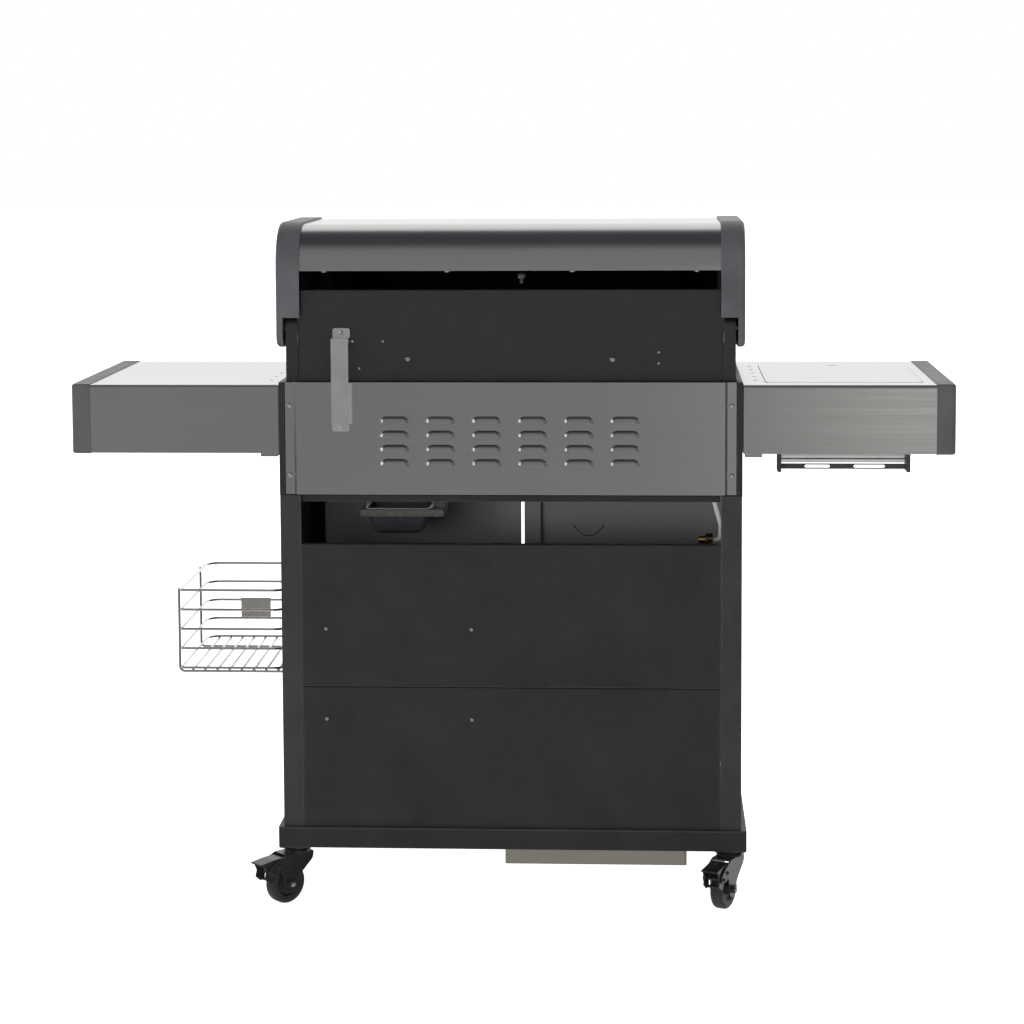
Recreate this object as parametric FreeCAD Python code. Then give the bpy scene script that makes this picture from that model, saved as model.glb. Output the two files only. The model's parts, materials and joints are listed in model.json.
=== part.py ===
import FreeCAD, Part
import math
import os

Vector = FreeCAD.Vector

# Gas barbecue grill on castors, with two side shelves. All sizes are in mm.
# The front, where the cook stands, faces -Y. Right means +X, the cook's right hand.
# Depths are given from the rear plane, the outside of the rear panels: 0 there, negative forwards.

# Driving dimensions: cart
BASE_HALF = 394.0
BASE_REAR = 5.0
BASE_FRONT = -455.0
BASE_BOTTOM = 98.0
BASE_TOP = 133.0
CABINET_HALF = 385.0
CABINET_FRONT = -428.0
UPRIGHT_WIDTH = 34.5
PANEL_SPLIT = 373.5
PANEL_TOP = 615.4
SIDE_TOP = 697.0
SHEET = 1.2

# Driving dimensions: cook box and rear shield
SHIELD_HALF = 375.5
SHIELD_BOTTOM = 699.0
SHIELD_TOP = 887.0
CHEEK_INNER = 355.0
CHEEK_OUTER = 374.5
BOX_REAR = -16.0
BOX_FRONT = -434.0
BOX_FLOOR = 726.0
BOX_RIM = 916.0
REAR_WALL_TOP = 1040.0
REAR_WALL_Y = -20.0
GRATE_BOTTOM = 893.0

# Driving dimensions: lid
LID_HALF = 389.7
LID_TOP = 1151.5
LID_REAR = -5.0
LID_REAR_EDGE = 1072.0
LID_INNER = 350.0
HINGE_Y = -35.0
HINGE_Z = 975.0

# Driving dimensions: shelves and side burner
SHELF_INNER = 387.0
SHELF_OUTER = 705.0
SHELF_END = 736.5
SHELF_REAR = -6.5
SHELF_FRONT = -444.0
SHELF_BOTTOM = 767.4
SHELF_TOP = 882.3
SIDE_LID_X = (-686.3, -425.6)
SIDE_LID_Y = (-360.6, -52.0)
SIDE_BURNER_CENTRE = (-556.0, -206.0)

# Driving dimensions: gas controls
KNOB_Z = 810.0
KNOB_RADIUS = 24.0
BURNER_X = (-225.0, -75.0, 75.0, 225.0)
REAR_KNOB_X = 322.0
PANEL_FACE = -468.0
SIDE_KNOB = (-556.0, SHELF_FRONT, 825.0)
REAR_PIPE_X = 281.7

# Driving dimensions: castors
WHEEL_RADIUS = 35.0
WHEEL_WIDTH = 22.0
CASTOR_TRAIL = 26.0
CASTOR_INSET_X = 27.3
CASTOR_INSET_Y = 30.0
RUNNING_GAP = 0.05
BODY_GAP = 0.3

# Name, pivot, turn of the wheel's trail from +X in degrees, and whether it has a brake pedal
CASTOR_X = BASE_HALF - CASTOR_INSET_X
CASTORS = (
    ("rear_right", (CASTOR_X, BASE_REAR - CASTOR_INSET_Y), 44.0, True),
    ("rear_left", (-CASTOR_X, BASE_REAR - CASTOR_INSET_Y), 65.0, True),
    ("front_right", (CASTOR_X, BASE_FRONT + CASTOR_INSET_Y), 150.0, False),
    ("front_left", (-CASTOR_X, BASE_FRONT + CASTOR_INSET_Y), 20.0, False),
)


# ---- Plain shapes ----

def box(x, y, z):
    """Box between two values on each axis."""
    (x0, x1), (y0, y1), (z0, z1) = sorted(x), sorted(y), sorted(z)
    return Part.makeBox(x1 - x0, y1 - y0, z1 - z0, Vector(x0, y0, z0))


def rod(start, end, radius):
    """Cylinder between two points."""
    run = Vector(*end) - Vector(*start)
    return Part.makeCylinder(radius, run.Length, Vector(*start), run)


def join(shapes):
    """One shape fused from several that touch."""
    return shapes[0].multiFuse(list(shapes[1:])).removeSplitter()


def cut(shape, tools):
    """The shape with every tool taken away."""
    return shape.cut(list(tools))


def parted(shape, cells):
    """The shape as separate solids that touch, parted where one cell meets the next."""
    solids = []
    for cell in cells:
        solids += shape.common(cell).Solids
    return solids


def frame_cells(outer_x, outer_y, inner_x, inner_y, z):
    """Four boxes around an inner rectangle: front and rear over the full width, left and right between."""
    between = (inner_y[0], inner_y[1])
    return [box(outer_x, (outer_y[0], inner_y[0]), z), box(outer_x, (inner_y[1], outer_y[1]), z),
            box((outer_x[0], inner_x[0]), between, z), box((inner_x[1], outer_x[1]), between, z)]


def both_sides(shape):
    """The shape and its mirror image across the middle plane."""
    return [shape, shape.mirror(Vector(0, 0, 0), Vector(1, 0, 0))]


def rounded_wire(corners, place):
    """Closed wire through (u, v, radius) corners, each rounded by a tangent arc of its radius."""
    points = [Vector(u, v, 0) for u, v, radius in corners]
    spans = []
    for index, corner in enumerate(corners):
        here = points[index]
        radius = corner[2]
        before = (points[index - 1] - here).normalize()
        after = (points[(index + 1) % len(points)] - here).normalize()
        half_angle = before.getAngle(after) / 2
        reach = radius / math.tan(half_angle)
        depth = radius / math.sin(half_angle) - radius
        middle = here + (before + after).normalize() * depth
        spans.append((here + before * reach, middle, here + after * reach, radius))
    edges = []
    for index, (enter, middle, leave, radius) in enumerate(spans):
        if radius > 0:
            edges.append(Part.Arc(place(enter), place(middle), place(leave)).toShape())
        following = spans[(index + 1) % len(spans)][0]
        if leave.distanceToPoint(following) > 0.001:
            edges.append(Part.makeLine(place(leave), place(following)))
    return Part.Wire(edges)


def side_prism(corners, x):
    """Outline in (y, z), extruded along X."""
    wire = rounded_wire(corners, lambda point: Vector(x[0], point.x, point.y))
    return Part.Face(wire).extrude(Vector(x[1] - x[0], 0, 0))


def rear_prism(corners, y):
    """Outline in (x, z), extruded along Y."""
    wire = rounded_wire(corners, lambda point: Vector(point.x, y[0], point.y))
    return Part.Face(wire).extrude(Vector(0, y[1] - y[0], 0))


def plan_prism(corners, z):
    """Outline in (x, y), extruded along Z."""
    wire = rounded_wire(corners, lambda point: Vector(point.x, point.y, z[0]))
    return Part.Face(wire).extrude(Vector(0, 0, z[1] - z[0]))


def rectangle(u, v, radius):
    """Four corners of a rectangle, all with one radius."""
    return [(u[0], v[0], radius), (u[1], v[0], radius), (u[1], v[1], radius), (u[0], v[1], radius)]


def inset_side_prism(corners, inset, x):
    """Prism of an outline in (y, z) drawn in by an even distance."""
    wire = rounded_wire(corners, lambda point: Vector(x[0], point.x, point.y))
    smaller = wire.makeOffset2D(-inset)
    if smaller.BoundBox.YLength > wire.BoundBox.YLength:
        smaller = wire.makeOffset2D(inset)
    return Part.Face(smaller).extrude(Vector(x[1] - x[0], 0, 0))


def bent_tube(points, radius, *bends):
    """Round bar or tube along straight runs joined by arcs: one bend for all corners, or one each."""
    points = [Vector(*point) for point in points]
    if len(bends) == 1:
        bends = bends * (len(points) - 2)
    pieces = []
    start = points[0]
    for before, here, after, bend in zip(points, points[1:], points[2:], bends):
        back = (before - here).normalize()
        ahead = (after - here).normalize()
        half_angle = back.getAngle(ahead) / 2
        reach = bend / math.tan(half_angle)
        enter = here + back * reach
        centre = here + (back + ahead).normalize() * (bend / math.sin(half_angle))
        turn_axis = ahead.cross(back)
        section = Part.Face(Part.Wire(Part.makeCircle(radius, enter, back)))
        turn = 180 - math.degrees(2 * half_angle)
        pieces.append(Part.makeCylinder(radius, (enter - start).Length, start, enter - start))
        pieces.append(section.revolve(centre, turn_axis, turn))
        start = here + ahead * reach
    pieces.append(Part.makeCylinder(radius, (points[-1] - start).Length, start, points[-1] - start))
    return join(pieces)


def hexagon_head(centre, direction, across_flats, height):
    """Hexagonal nut or bolt head, standing from centre along a direction."""
    radius = across_flats / math.sqrt(3)
    turns = [k * math.pi / 3 for k in range(7)]
    corners = [Vector(radius * math.cos(turn), radius * math.sin(turn), 0) for turn in turns]
    head = Part.Face(Part.makePolygon(corners)).extrude(Vector(0, 0, height))
    head.Placement = FreeCAD.Placement(Vector(*centre), FreeCAD.Rotation(Vector(0, 0, 1), Vector(*direction)))
    return head


def pan_head_screw(x, y, z, head_radius=4.2, head_height=2.2, shank=4.0):
    """Pan-head screw seen from behind: the head stands out of the face at y, the shank goes forwards."""
    head = Part.makeCone(head_radius, head_radius * 0.62, head_height, Vector(x, y, z), Vector(0, 1, 0))
    return join([head, rod((x, y, z), (x, y - shank, z), 1.9)])


# ---- Cart ----

def base_tray():
    """Folded base: closed top, deep skirts, a pad under each corner and a hole for the bottle well."""
    x = (-BASE_HALF, BASE_HALF)
    y = (BASE_FRONT, BASE_REAR)
    shell = plan_prism(rectangle(x, y, 3), (BASE_BOTTOM, BASE_TOP))
    inside = plan_prism(rectangle((x[0] + 1.5, x[1] - 1.5), (y[0] + 1.5, y[1] - 1.5), 1.5),
                        (BASE_BOTTOM, BASE_TOP - 2))
    pads = []
    for name, (px, py), turn, has_brake in CASTORS:
        pads.append(box((px - 40, px + 26.5), (py - 28.5, py + 28.5), (BASE_BOTTOM, BASE_BOTTOM + 2.5)))
        if px < 0:
            pads[-1] = box((px - 26.5, px + 40), (py - 28.5, py + 28.5), (BASE_BOTTOM, BASE_BOTTOM + 2.5))
    well_hole = plan_prism(rectangle(WELL_X, WELL_Y, WELL_CORNER), (BASE_TOP - 3, BASE_TOP + 1))
    tray = cut(join([cut(shell, [inside])] + pads), [well_hole])
    inner_x = (x[0] + 1.5, x[1] - 1.5)
    inner_y = (y[0] + 1.5, y[1] - 1.5)
    skirts = frame_cells(x, y, inner_x, inner_y, (BASE_BOTTOM, BASE_TOP - 2))
    top = frame_cells(x, y, WELL_X, WELL_Y, (BASE_TOP - 2, BASE_TOP))
    middle = box(inner_x, inner_y, (BASE_BOTTOM, BASE_TOP - 2))
    return parted(tray, skirts + top + [middle])


WELL_X = (-296.0, 17.0)
WELL_Y = (-405.0, -100.0)
WELL_BOTTOM = 43.5
WELL_CORNER = 4.0
WELL_FLANGE = 12.0
WELL_GAP = 0.3


def bottle_well():
    """Dropped pan that the gas bottle stands in, hung from the base by its flange."""
    x = (WELL_X[0] + WELL_GAP, WELL_X[1] - WELL_GAP)
    y = (WELL_Y[0] + WELL_GAP, WELL_Y[1] - WELL_GAP)
    outer = plan_prism(rectangle(x, y, WELL_CORNER), (WELL_BOTTOM, BASE_TOP + SHEET))
    flange_x = (x[0] - WELL_FLANGE, x[1] + WELL_FLANGE)
    flange_y = (y[0] - WELL_FLANGE, y[1] + WELL_FLANGE)
    flange = plan_prism(rectangle(flange_x, flange_y, 10), (BASE_TOP, BASE_TOP + SHEET))
    inner_x = (x[0] + SHEET, x[1] - SHEET)
    inner_y = (y[0] + SHEET, y[1] - SHEET)
    inner = plan_prism(rectangle(inner_x, inner_y, WELL_CORNER - SHEET), (WELL_BOTTOM + SHEET, BASE_TOP + 5))
    pan = cut(join([outer, flange]), [inner])
    floor = box(x, y, (WELL_BOTTOM, WELL_BOTTOM + SHEET))
    walls = frame_cells(x, y, inner_x, inner_y, (WELL_BOTTOM + SHEET, BASE_TOP))
    rim = frame_cells(flange_x, flange_y, inner_x, inner_y, (BASE_TOP, BASE_TOP + SHEET))
    return parted(pan, [floor] + walls + rim)


def side_panels():
    """Two folded cabinet sides, whose rear flanges are the uprights seen from behind."""
    z = (BASE_TOP, SIDE_TOP)
    wall = box((CABINET_HALF - SHEET, CABINET_HALF), (CABINET_FRONT, 0), z)
    rear = box((CABINET_HALF - UPRIGHT_WIDTH, CABINET_HALF), (-SHEET, 0), z)
    lip = box((CABINET_HALF - UPRIGHT_WIDTH, CABINET_HALF - UPRIGHT_WIDTH + SHEET), (-12, 0), z)
    front = box((CABINET_HALF - 22, CABINET_HALF), (CABINET_FRONT, CABINET_FRONT + SHEET), z)
    foot = box((CABINET_HALF - 18, CABINET_HALF), (CABINET_FRONT, 0), (BASE_TOP, BASE_TOP + SHEET))
    head = box((CABINET_HALF - 18, CABINET_HALF), (CABINET_FRONT, 0), (SIDE_TOP - SHEET, SIDE_TOP))
    return both_sides(join([wall, rear, lip, front, foot, head]))


def rear_panel(bottom, top):
    """Folded rear panel between the uprights, with a rounded top bend and returned edges."""
    half = CABINET_HALF - UPRIGHT_WIDTH - 0.8
    outline = [(0, bottom, 0), (0, top, 2.5), (-14, top, 0), (-14, top - SHEET, 0),
               (-SHEET, top - SHEET, 1.2), (-SHEET, bottom, 0)]
    face = side_prism(outline, (-half, half))
    returns = both_sides(box((half - SHEET, half), (-10, -0.6), (bottom, top - 3)))
    return join([face] + returns)


PANEL_SCREWS = ((310.3, 471.7), (65.8, 471.7), (310.3, 318.2), (65.8, 318.2))


def frame_rails():
    """Cross members: rear rail, front rail, drip-cup rail, tray runners and the door hinge lugs."""
    reach = CABINET_HALF - SHEET
    rear = box((-349, 349), (-22, -10), (686, SIDE_TOP - 0.8))
    front = join([box((-reach, reach), (CABINET_FRONT + SHEET, CABINET_FRONT + 14), (660, 684)),
                  box((-reach, reach), (CABINET_FRONT + SHEET, CABINET_FRONT + 2 * SHEET), (640, 684))])
    cup_rail = box((-reach, reach), (-225, -205), (676, 684))
    runner = join([box((326, reach), (-425, -100), (690.6, 692.4)),
                   box((reach - 2, reach), (-425, -100), (670, 692.4))])
    lug = box((366, reach), (-450, CABINET_FRONT), (690, 694))
    lug = cut(lug, [rod((DOOR_PIVOT_X, DOOR_PIVOT_Y, 680), (DOOR_PIVOT_X, DOOR_PIVOT_Y, 700), 3.0)])
    return [rear, front, cup_rail] + both_sides(runner) + both_sides(lug)


def cook_box_brackets():
    """Two plates standing on the cabinet sides, which carry the cook box and the shelves."""
    plate = box((SHIELD_HALF + 1.1, 385.6), (BOX_FRONT + 4, -2), (SIDE_TOP, SHIELD_TOP))
    relief = box((SHIELD_HALF, 383.6), (BOX_FRONT + 3, -14), (SIDE_TOP + 14, SHIELD_TOP - 14))
    return both_sides(cut(plate, [relief]))


# ---- Doors ----

DOOR_PIVOT_X = 376.0
DOOR_PIVOT_Y = -443.0
DOOR_BACK = -433.0
DOOR_FACE = -451.0
DOOR_BOTTOM = 140.0
DOOR_TOP = 686.0
DOOR_PIN = 3.0


def door(inner_return):
    """Folded pan door for the right side: front sheet, edge flanges and a return by the middle."""
    x = (3.0, 383.5)
    z = (DOOR_BOTTOM, DOOR_TOP)
    block = plan_prism([(x[0], DOOR_FACE, 2), (x[1], DOOR_FACE, 5), (x[1], DOOR_BACK, 5),
                        (x[0], DOOR_BACK, 1)], z)
    hollow = box((x[0] + SHEET, x[1] - SHEET), (DOOR_FACE + SHEET, DOOR_BACK + 1),
                 (z[0] + SHEET, z[1] - SHEET))
    back = box((x[0] + 0.5, x[0] + inner_return), (DOOR_BACK - SHEET, DOOR_BACK), (z[0] + 1, z[1] - 1))
    pin_holes = rod((DOOR_PIVOT_X, DOOR_PIVOT_Y, z[0] - 1), (DOOR_PIVOT_X, DOOR_PIVOT_Y, z[1] + 1),
                    DOOR_PIN + RUNNING_GAP)
    return cut(join([cut(block, [hollow]), back]), [pin_holes])


def door_handle():
    """Upright bar handle of the right door, on two posts."""
    bar = rod((30, -480, 380), (30, -480, 620), 6)
    posts = [rod((30, DOOR_FACE, height), (30, -480, height), 4.5) for height in (405, 595)]
    return join([bar] + posts)


# ---- Rear shield, cook box and burners ----

LOUVRE_COLUMNS = 6
LOUVRE_ROWS = 4
LOUVRE_PITCH_X = 76.7
LOUVRE_PITCH_Z = 23.8
LOUVRE_WIDTH = 49.0
LOUVRE_HEIGHT = 11.0
LOUVRE_PROUD = 5.5
LOUVRE_MIDDLE_X = 0.5
LOUVRE_TOP_ROW = 819.5


def louvre_hood(x, bottom, skin):
    """Half capsule pressed out of the sheet, with round ends: it stands proud and is open below."""
    height = LOUVRE_HEIGHT - skin
    proud = LOUVRE_PROUD - skin
    radius = (height * height + proud * proud) / (2 * proud)
    depth = proud - radius
    reach = LOUVRE_WIDTH / 2 - LOUVRE_HEIGHT
    barrel = rod((x - reach, depth, bottom), (x + reach, depth, bottom), radius)
    ends = [Part.makeSphere(radius, Vector(x + side * reach, depth, bottom)) for side in (-1, 1)]
    upper_front = box((x - LOUVRE_WIDTH, x + LOUVRE_WIDTH), (-2, LOUVRE_PROUD),
                      (bottom, bottom + LOUVRE_WIDTH))
    return join([barrel] + ends).common(upper_front)


def heat_shield():
    """Stainless rear shield: raised middle, lower side strips and pressed louvres open downwards."""
    z = (SHIELD_BOTTOM, SHIELD_TOP)
    strip = SHIELD_HALF - 15
    outline = [(-SHIELD_HALF, -4, 0), (-strip, -4, 0), (-strip + 4, -1, 0), (strip - 4, -1, 0),
               (strip, -4, 0),
               (SHIELD_HALF, -4, 0), (SHIELD_HALF, -3, 0), (strip, -3, 0), (strip - 4, 0, 0),
               (-strip + 4, 0, 0), (-strip, -3, 0), (-SHIELD_HALF, -3, 0)]
    sheet = plan_prism(outline, z)
    top_fold = box((-strip + 4, strip - 4), (-14, -0.5), (SHIELD_TOP - 1, SHIELD_TOP))
    hoods = []
    hollows = []
    for column in range(LOUVRE_COLUMNS):
        x = LOUVRE_MIDDLE_X + (column - (LOUVRE_COLUMNS - 1) / 2) * LOUVRE_PITCH_X
        for row in range(LOUVRE_ROWS):
            bottom = LOUVRE_TOP_ROW - row * LOUVRE_PITCH_Z
            hoods.append(louvre_hood(x, bottom, 0.0))
            hollow = louvre_hood(x, bottom, 0.9)
            hollow.translate(Vector(0, 0, -0.5))
            hollows.append(hollow)
    pipe_hole = rear_prism(rectangle((REAR_PIPE_X - 6, REAR_PIPE_X + 6),
                                     (PIPE_OUT_Z - 10, PIPE_OUT_Z + 16), 5.5),
                           (-5, 2))
    return cut(join([sheet, top_fold] + hoods), hollows + [pipe_hole])


PIPE_OUT_Z = 826.0
SHIELD_SCREWS = ((367.5, 847.5), (367.5, 731.0), (-367.5, 847.5), (-367.5, 731.0))


def firebox():
    """Cook box: hollow cheeks, front wall, lower rear wall, hopper floor with a grease slot, and ledges."""
    cheek_outline = [(BOX_REAR, BOX_FLOOR, 0), (BOX_REAR, 992, 14), (-60, 1000, 20),
                     (BOX_FRONT, 918, 12), (BOX_FRONT, BOX_FLOOR, 0)]
    cheek = side_prism(cheek_outline, (CHEEK_INNER, CHEEK_OUTER))
    hollow = box((CHEEK_INNER + 1.5, CHEEK_OUTER - 1.5), (BOX_REAR - 1.5, BOX_FRONT + 1.5),
                 (BOX_FLOOR - 1, BOX_RIM - 10))
    cheeks = both_sides(cut(cheek, [hollow]))
    span = (-CHEEK_INNER, CHEEK_INNER)
    front = side_prism([(-430.5, BOX_FLOOR + 18, 0), (-430.5, BOX_RIM, 3), (-452, BOX_RIM, 0),
                        (-452, BOX_RIM - 1.5, 0), (-432, BOX_RIM - 1.5, 1.5), (-432, BOX_FLOOR + 18, 0)],
                       span)
    rear = box(span, (-24, -22.5), (BOX_FLOOR, SHIELD_TOP))
    ledges = [box(span, (-431, -418), (GRATE_BOTTOM - 2.5, GRATE_BOTTOM - BODY_GAP / 3)),
              box(span, (-46, -23), (GRATE_BOTTOM - 2.5, GRATE_BOTTOM - BODY_GAP / 3))]
    rods = [rod((-CHEEK_INNER, y, 843), (CHEEK_INNER, y, 843), 3) for y in (-64, -396)]
    floor = rear_prism([(-CHEEK_INNER, BOX_FLOOR + 18, 0), (0, BOX_FLOOR, 0),
                        (CHEEK_INNER, BOX_FLOOR + 18, 0),
                        (CHEEK_INNER, BOX_FLOOR + 20, 0), (0, BOX_FLOOR + 2, 0),
                        (-CHEEK_INNER, BOX_FLOOR + 20, 0)],
                       (-431, -23))
    slot = plan_prism(rectangle((-150, 150), (-260, -200), 20), (BOX_FLOOR - 10, BOX_FLOOR + 30))
    burner_holes = [rod((x, -440, KNOB_Z), (x, -425, KNOB_Z), 16.3) for x in BURNER_X]
    whole = join(cheeks + [front, rear, floor] + ledges + rods)
    hinge_holes = both_sides(rod((CHEEK_OUTER - 14, HINGE_Y, HINGE_Z), (CHEEK_OUTER + 1, HINGE_Y, HINGE_Z),
                                 4.0))
    return cut(whole, [slot] + burner_holes + hinge_holes)


def rear_wall():
    """Enamelled upper rear wall of the cook box, folded forwards at its top."""
    outline = [(REAR_WALL_Y, 872, 0), (REAR_WALL_Y, REAR_WALL_TOP, 2.5), (-36, REAR_WALL_TOP, 0),
               (-36, REAR_WALL_TOP - 1.5, 0), (-21.5, REAR_WALL_TOP - 1.5, 1), (-21.5, 872, 0)]
    wall = side_prism(outline, (-CHEEK_INNER + 0.2, CHEEK_INNER - 0.2))
    pipe_hole = rod((REAR_PIPE_X, -30, PIPE_IN_Z), (REAR_PIPE_X, 0, PIPE_IN_Z), 5.0)
    return cut(wall, [pipe_hole])


PIPE_IN_Z = 945.0
REAR_BURNER_Z = (918.0, 985.0)


def rear_burner():
    """Infrared burner behind the food: open frame, ceramic tile and a mixing tube to the gas pipe."""
    frame = box((-250, 250), (-58, -21.5), REAR_BURNER_Z)
    pocket = box((-238, 238), (-60, -44), (REAR_BURNER_Z[0] + 10, REAR_BURNER_Z[1] - 10))
    tile = box((-238, 238), (-50, -44), (REAR_BURNER_Z[0] + 10, REAR_BURNER_Z[1] - 10))
    mixer = rod((250, -38, PIPE_IN_Z), (300, -38, PIPE_IN_Z), 9)
    mouth = rod((REAR_PIPE_X, -40, PIPE_IN_Z), (REAR_PIPE_X, -20, PIPE_IN_Z), 4.6)
    return [cut(join([cut(frame, [pocket]), mixer]), [mouth]), tile]


WALL_SCREWS = ((170.5, 924.0), (-170.5, 923.0), (212.0, 954.0), (263.0, 954.0),
               (252.0, 908.6), (-247.1, 935.5), (-247.1, 917.0), (281.7, 968.5))


def rear_burner_tube_cover():
    """Bright channel over the gas pipe of the rear burner, with a screw tab at each end."""
    x = (REAR_PIPE_X - 14.5, REAR_PIPE_X + 14.5)
    skin = 1.0
    shell = box(x, (0, 10), (817.6, 960.8))
    upper = box(x, (REAR_WALL_Y, 10), (SHIELD_TOP + 0.4, 960.8))
    inside = box((x[0] + skin, x[1] - skin), (-30, 10 - skin), (816, 970))
    channel = cut(join([shell, upper]), [inside])
    top_tab = rear_tab(x, REAR_WALL_Y, (952, 976))
    bridge = box((x[0], x[1]), (REAR_WALL_Y, 10), (959.8, 960.8))
    bottom_tab = rear_tab(x, 0.0, (805, 822))
    bottom_bridge = box(x, (0, 10), (817.6, 818.6))
    side_flange = box((x[0] - 5, x[0] + skin), (0, skin), (817.6, 886))
    return join([channel, top_tab, bridge, bottom_tab, bottom_bridge, side_flange])


def rear_tab(x, face, z):
    """Thin flat tab with round corners, which lies on a face at depth face."""
    return rear_prism(rectangle(x, z, 4), (face, face + 1.0))


def burner_tubes():
    """Four hollow stainless burner tubes, open at the front and closed at the rear."""
    tubes = []
    for x in BURNER_X:
        tube = cut(rod((x, -433.5, KNOB_Z), (x, -60, KNOB_Z), 16),
                   [rod((x, -434, KNOB_Z), (x, -62, KNOB_Z), 14.8)])
        tab = box((x - 8, x + 8), (-60.5, -24), (KNOB_Z - 12, KNOB_Z - 10.5))
        tubes.append(join([tube, tab]))
    return tubes


def flame_tamers():
    """Four folded ridges that stand over the burners."""
    tamers = []
    for x in BURNER_X:
        outline = [(x - 58, 846.2, 0), (x, 872, 4), (x + 58, 846.2, 0), (x + 58, 847.7, 0),
                   (x, 873.5, 4), (x - 58, 847.7, 0)]
        tamers.append(rear_prism(outline, (-404, -56)))
    return tamers


def cooking_grates():
    """Two cast-iron grates side by side, each one casting of long bars and cross bars."""
    grates = []
    for left in (-351.0, 1.0):
        width = 350.0
        bars = []
        count = 19
        for index in range(count):
            x = left + 4 + index * (width - 8) / (count - 1)
            bars.append(box((x - 3.5, x + 3.5), (-428, -38), (GRATE_BOTTOM, GRATE_BOTTOM + 11)))
        for y in (-426, -300, -166, -42):
            bars.append(box((left + 0.5, left + width - 0.5), (y - 4, y + 4),
                            (GRATE_BOTTOM, GRATE_BOTTOM + 8)))
        grates.append(join(bars))
    return grates


def warming_rack():
    """Wire rack across the back of the cook box, held between the cheeks."""
    rails = [rod((-CHEEK_INNER, y, 966), (CHEEK_INNER, y, 966), 3) for y in (-190, -75)]
    wires = []
    count = 23
    for index in range(count):
        x = -330 + index * 660 / (count - 1)
        wires.append(rod((x, -192, 969.5), (x, -73, 969.5), 1.6))
    return join(rails + wires)


# ---- Grease system ----

TRAY_X = (-335.0, 335.0)
TRAY_Y = (-426.0, -40.0)
TRAY_Z = (692.7, 709.0)
CUP_CENTRE = (204.0, -215.0)
CUP_RIM = 650.0


def grease_tray():
    """Shallow drawer under the cook box, with a drain hole over the cup and a pull lip in front."""
    outer = plan_prism(rectangle(TRAY_X, TRAY_Y, 6), TRAY_Z)
    inner = plan_prism(rectangle((TRAY_X[0] + 1, TRAY_X[1] - 1), (TRAY_Y[0] + 1, TRAY_Y[1] - 1), 5),
                       (TRAY_Z[0] + 1, TRAY_Z[1] + 1))
    drain = rod((CUP_CENTRE[0], CUP_CENTRE[1], 680), (CUP_CENTRE[0], CUP_CENTRE[1], 720), 11)
    stem = box((-70, 70), (-470, TRAY_Y[0] + 0.5), (TRAY_Z[1] - 3, TRAY_Z[1] - 1.5))
    lip = box((-70, 70), (-470, -468.5), (TRAY_Z[0], TRAY_Z[1] - 1.5))
    return cut(join([cut(outer, [inner]), stem, lip]), [drain])


def grease_cup_holder():
    """Hanging frame under the tray: a deep rim with two straps up to the cross rail."""
    cx, cy = CUP_CENTRE
    x = (cx - 80, cx + 64)
    rim = cut(box(x, (cy - 56, cy + 56), (CUP_RIM - 12, CUP_RIM)),
              [plan_prism(rectangle((cx - 56, cx + 56), (cy - 46, cy + 46), 8), (CUP_RIM - 13, CUP_RIM + 1))])
    straps = [box((left, left + 3), (cy - 10, cy + 10), (CUP_RIM - 1, 676)) for left in (x[0], x[1] - 3)]
    return join([rim] + straps)


def grease_cup():
    """Tapered drip cup with soft corners, hung in the frame by its rim."""
    cx, cy = CUP_CENTRE
    skin = 0.8
    floor = CUP_RIM - 45

    def ring(half_x, half_y, height, radius):
        return rounded_wire(rectangle((cx - half_x, cx + half_x), (cy - half_y, cy + half_y), radius),
                            lambda point: Vector(point.x, point.y, height))

    def tub(inset, bottom, top):
        low = ring(36 - inset, 28 - inset, bottom, 8)
        side = ring(43.5 - inset, 35 - inset, bottom + 6, 8)
        lip = ring(54.5 - inset, 44.5 - inset, top, 8)
        return Part.makeLoft([low, side, lip], True, True)

    flange = plan_prism(rectangle((cx - 60, cx + 60), (cy - 52, cy + 52), 10), (CUP_RIM + 0.1, CUP_RIM + 1.1))
    hole = plan_prism(rectangle((cx - 54, cx + 54), (cy - 44, cy + 44), 8), (CUP_RIM, CUP_RIM + 2))
    shell = cut(tub(0, floor, CUP_RIM + 0.3), [tub(skin, floor + skin, CUP_RIM + 3)])
    return join([shell, cut(flange, [hole])])


# ---- Gas parts ----

MANIFOLD_Y = -445.0
MANIFOLD_Z = 775.0
MANIFOLD_HALF = 345.0
PIPE_RUN_Z = 719.0
STEM_RADIUS = 4.0


def valve(x, face, z, back, stem_length):
    """Gas valve: body behind the panel, a stem through it and a nozzle towards the burner."""
    body = box((x - 10, x + 10), (back - 16, back), (z - 10, z + 10))
    stem = rod((x, back - 15, z), (x, face - stem_length, z), STEM_RADIUS)
    nozzle = rod((x, back - 1, z), (x, back + 10, z), 5)
    return [body, stem, nozzle]


def gas_manifold():
    """Gas rail behind the control panel, with one valve for each knob of the panel."""
    rail = rod((-MANIFOLD_HALF, MANIFOLD_Y, MANIFOLD_Z), (MANIFOLD_HALF, MANIFOLD_Y, MANIFOLD_Z), 8)
    parts = [rail]
    for x in BURNER_X + (REAR_KNOB_X,):
        back = -436.0
        body, stem, nozzle = valve(x, PANEL_FACE, KNOB_Z, back, 24)
        neck = rod((x, MANIFOLD_Y, MANIFOLD_Z), (x, MANIFOLD_Y, KNOB_Z - 9), 6)
        parts += [body, stem, neck]
        if x in BURNER_X:
            parts.append(nozzle)
    return join(parts)


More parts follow.
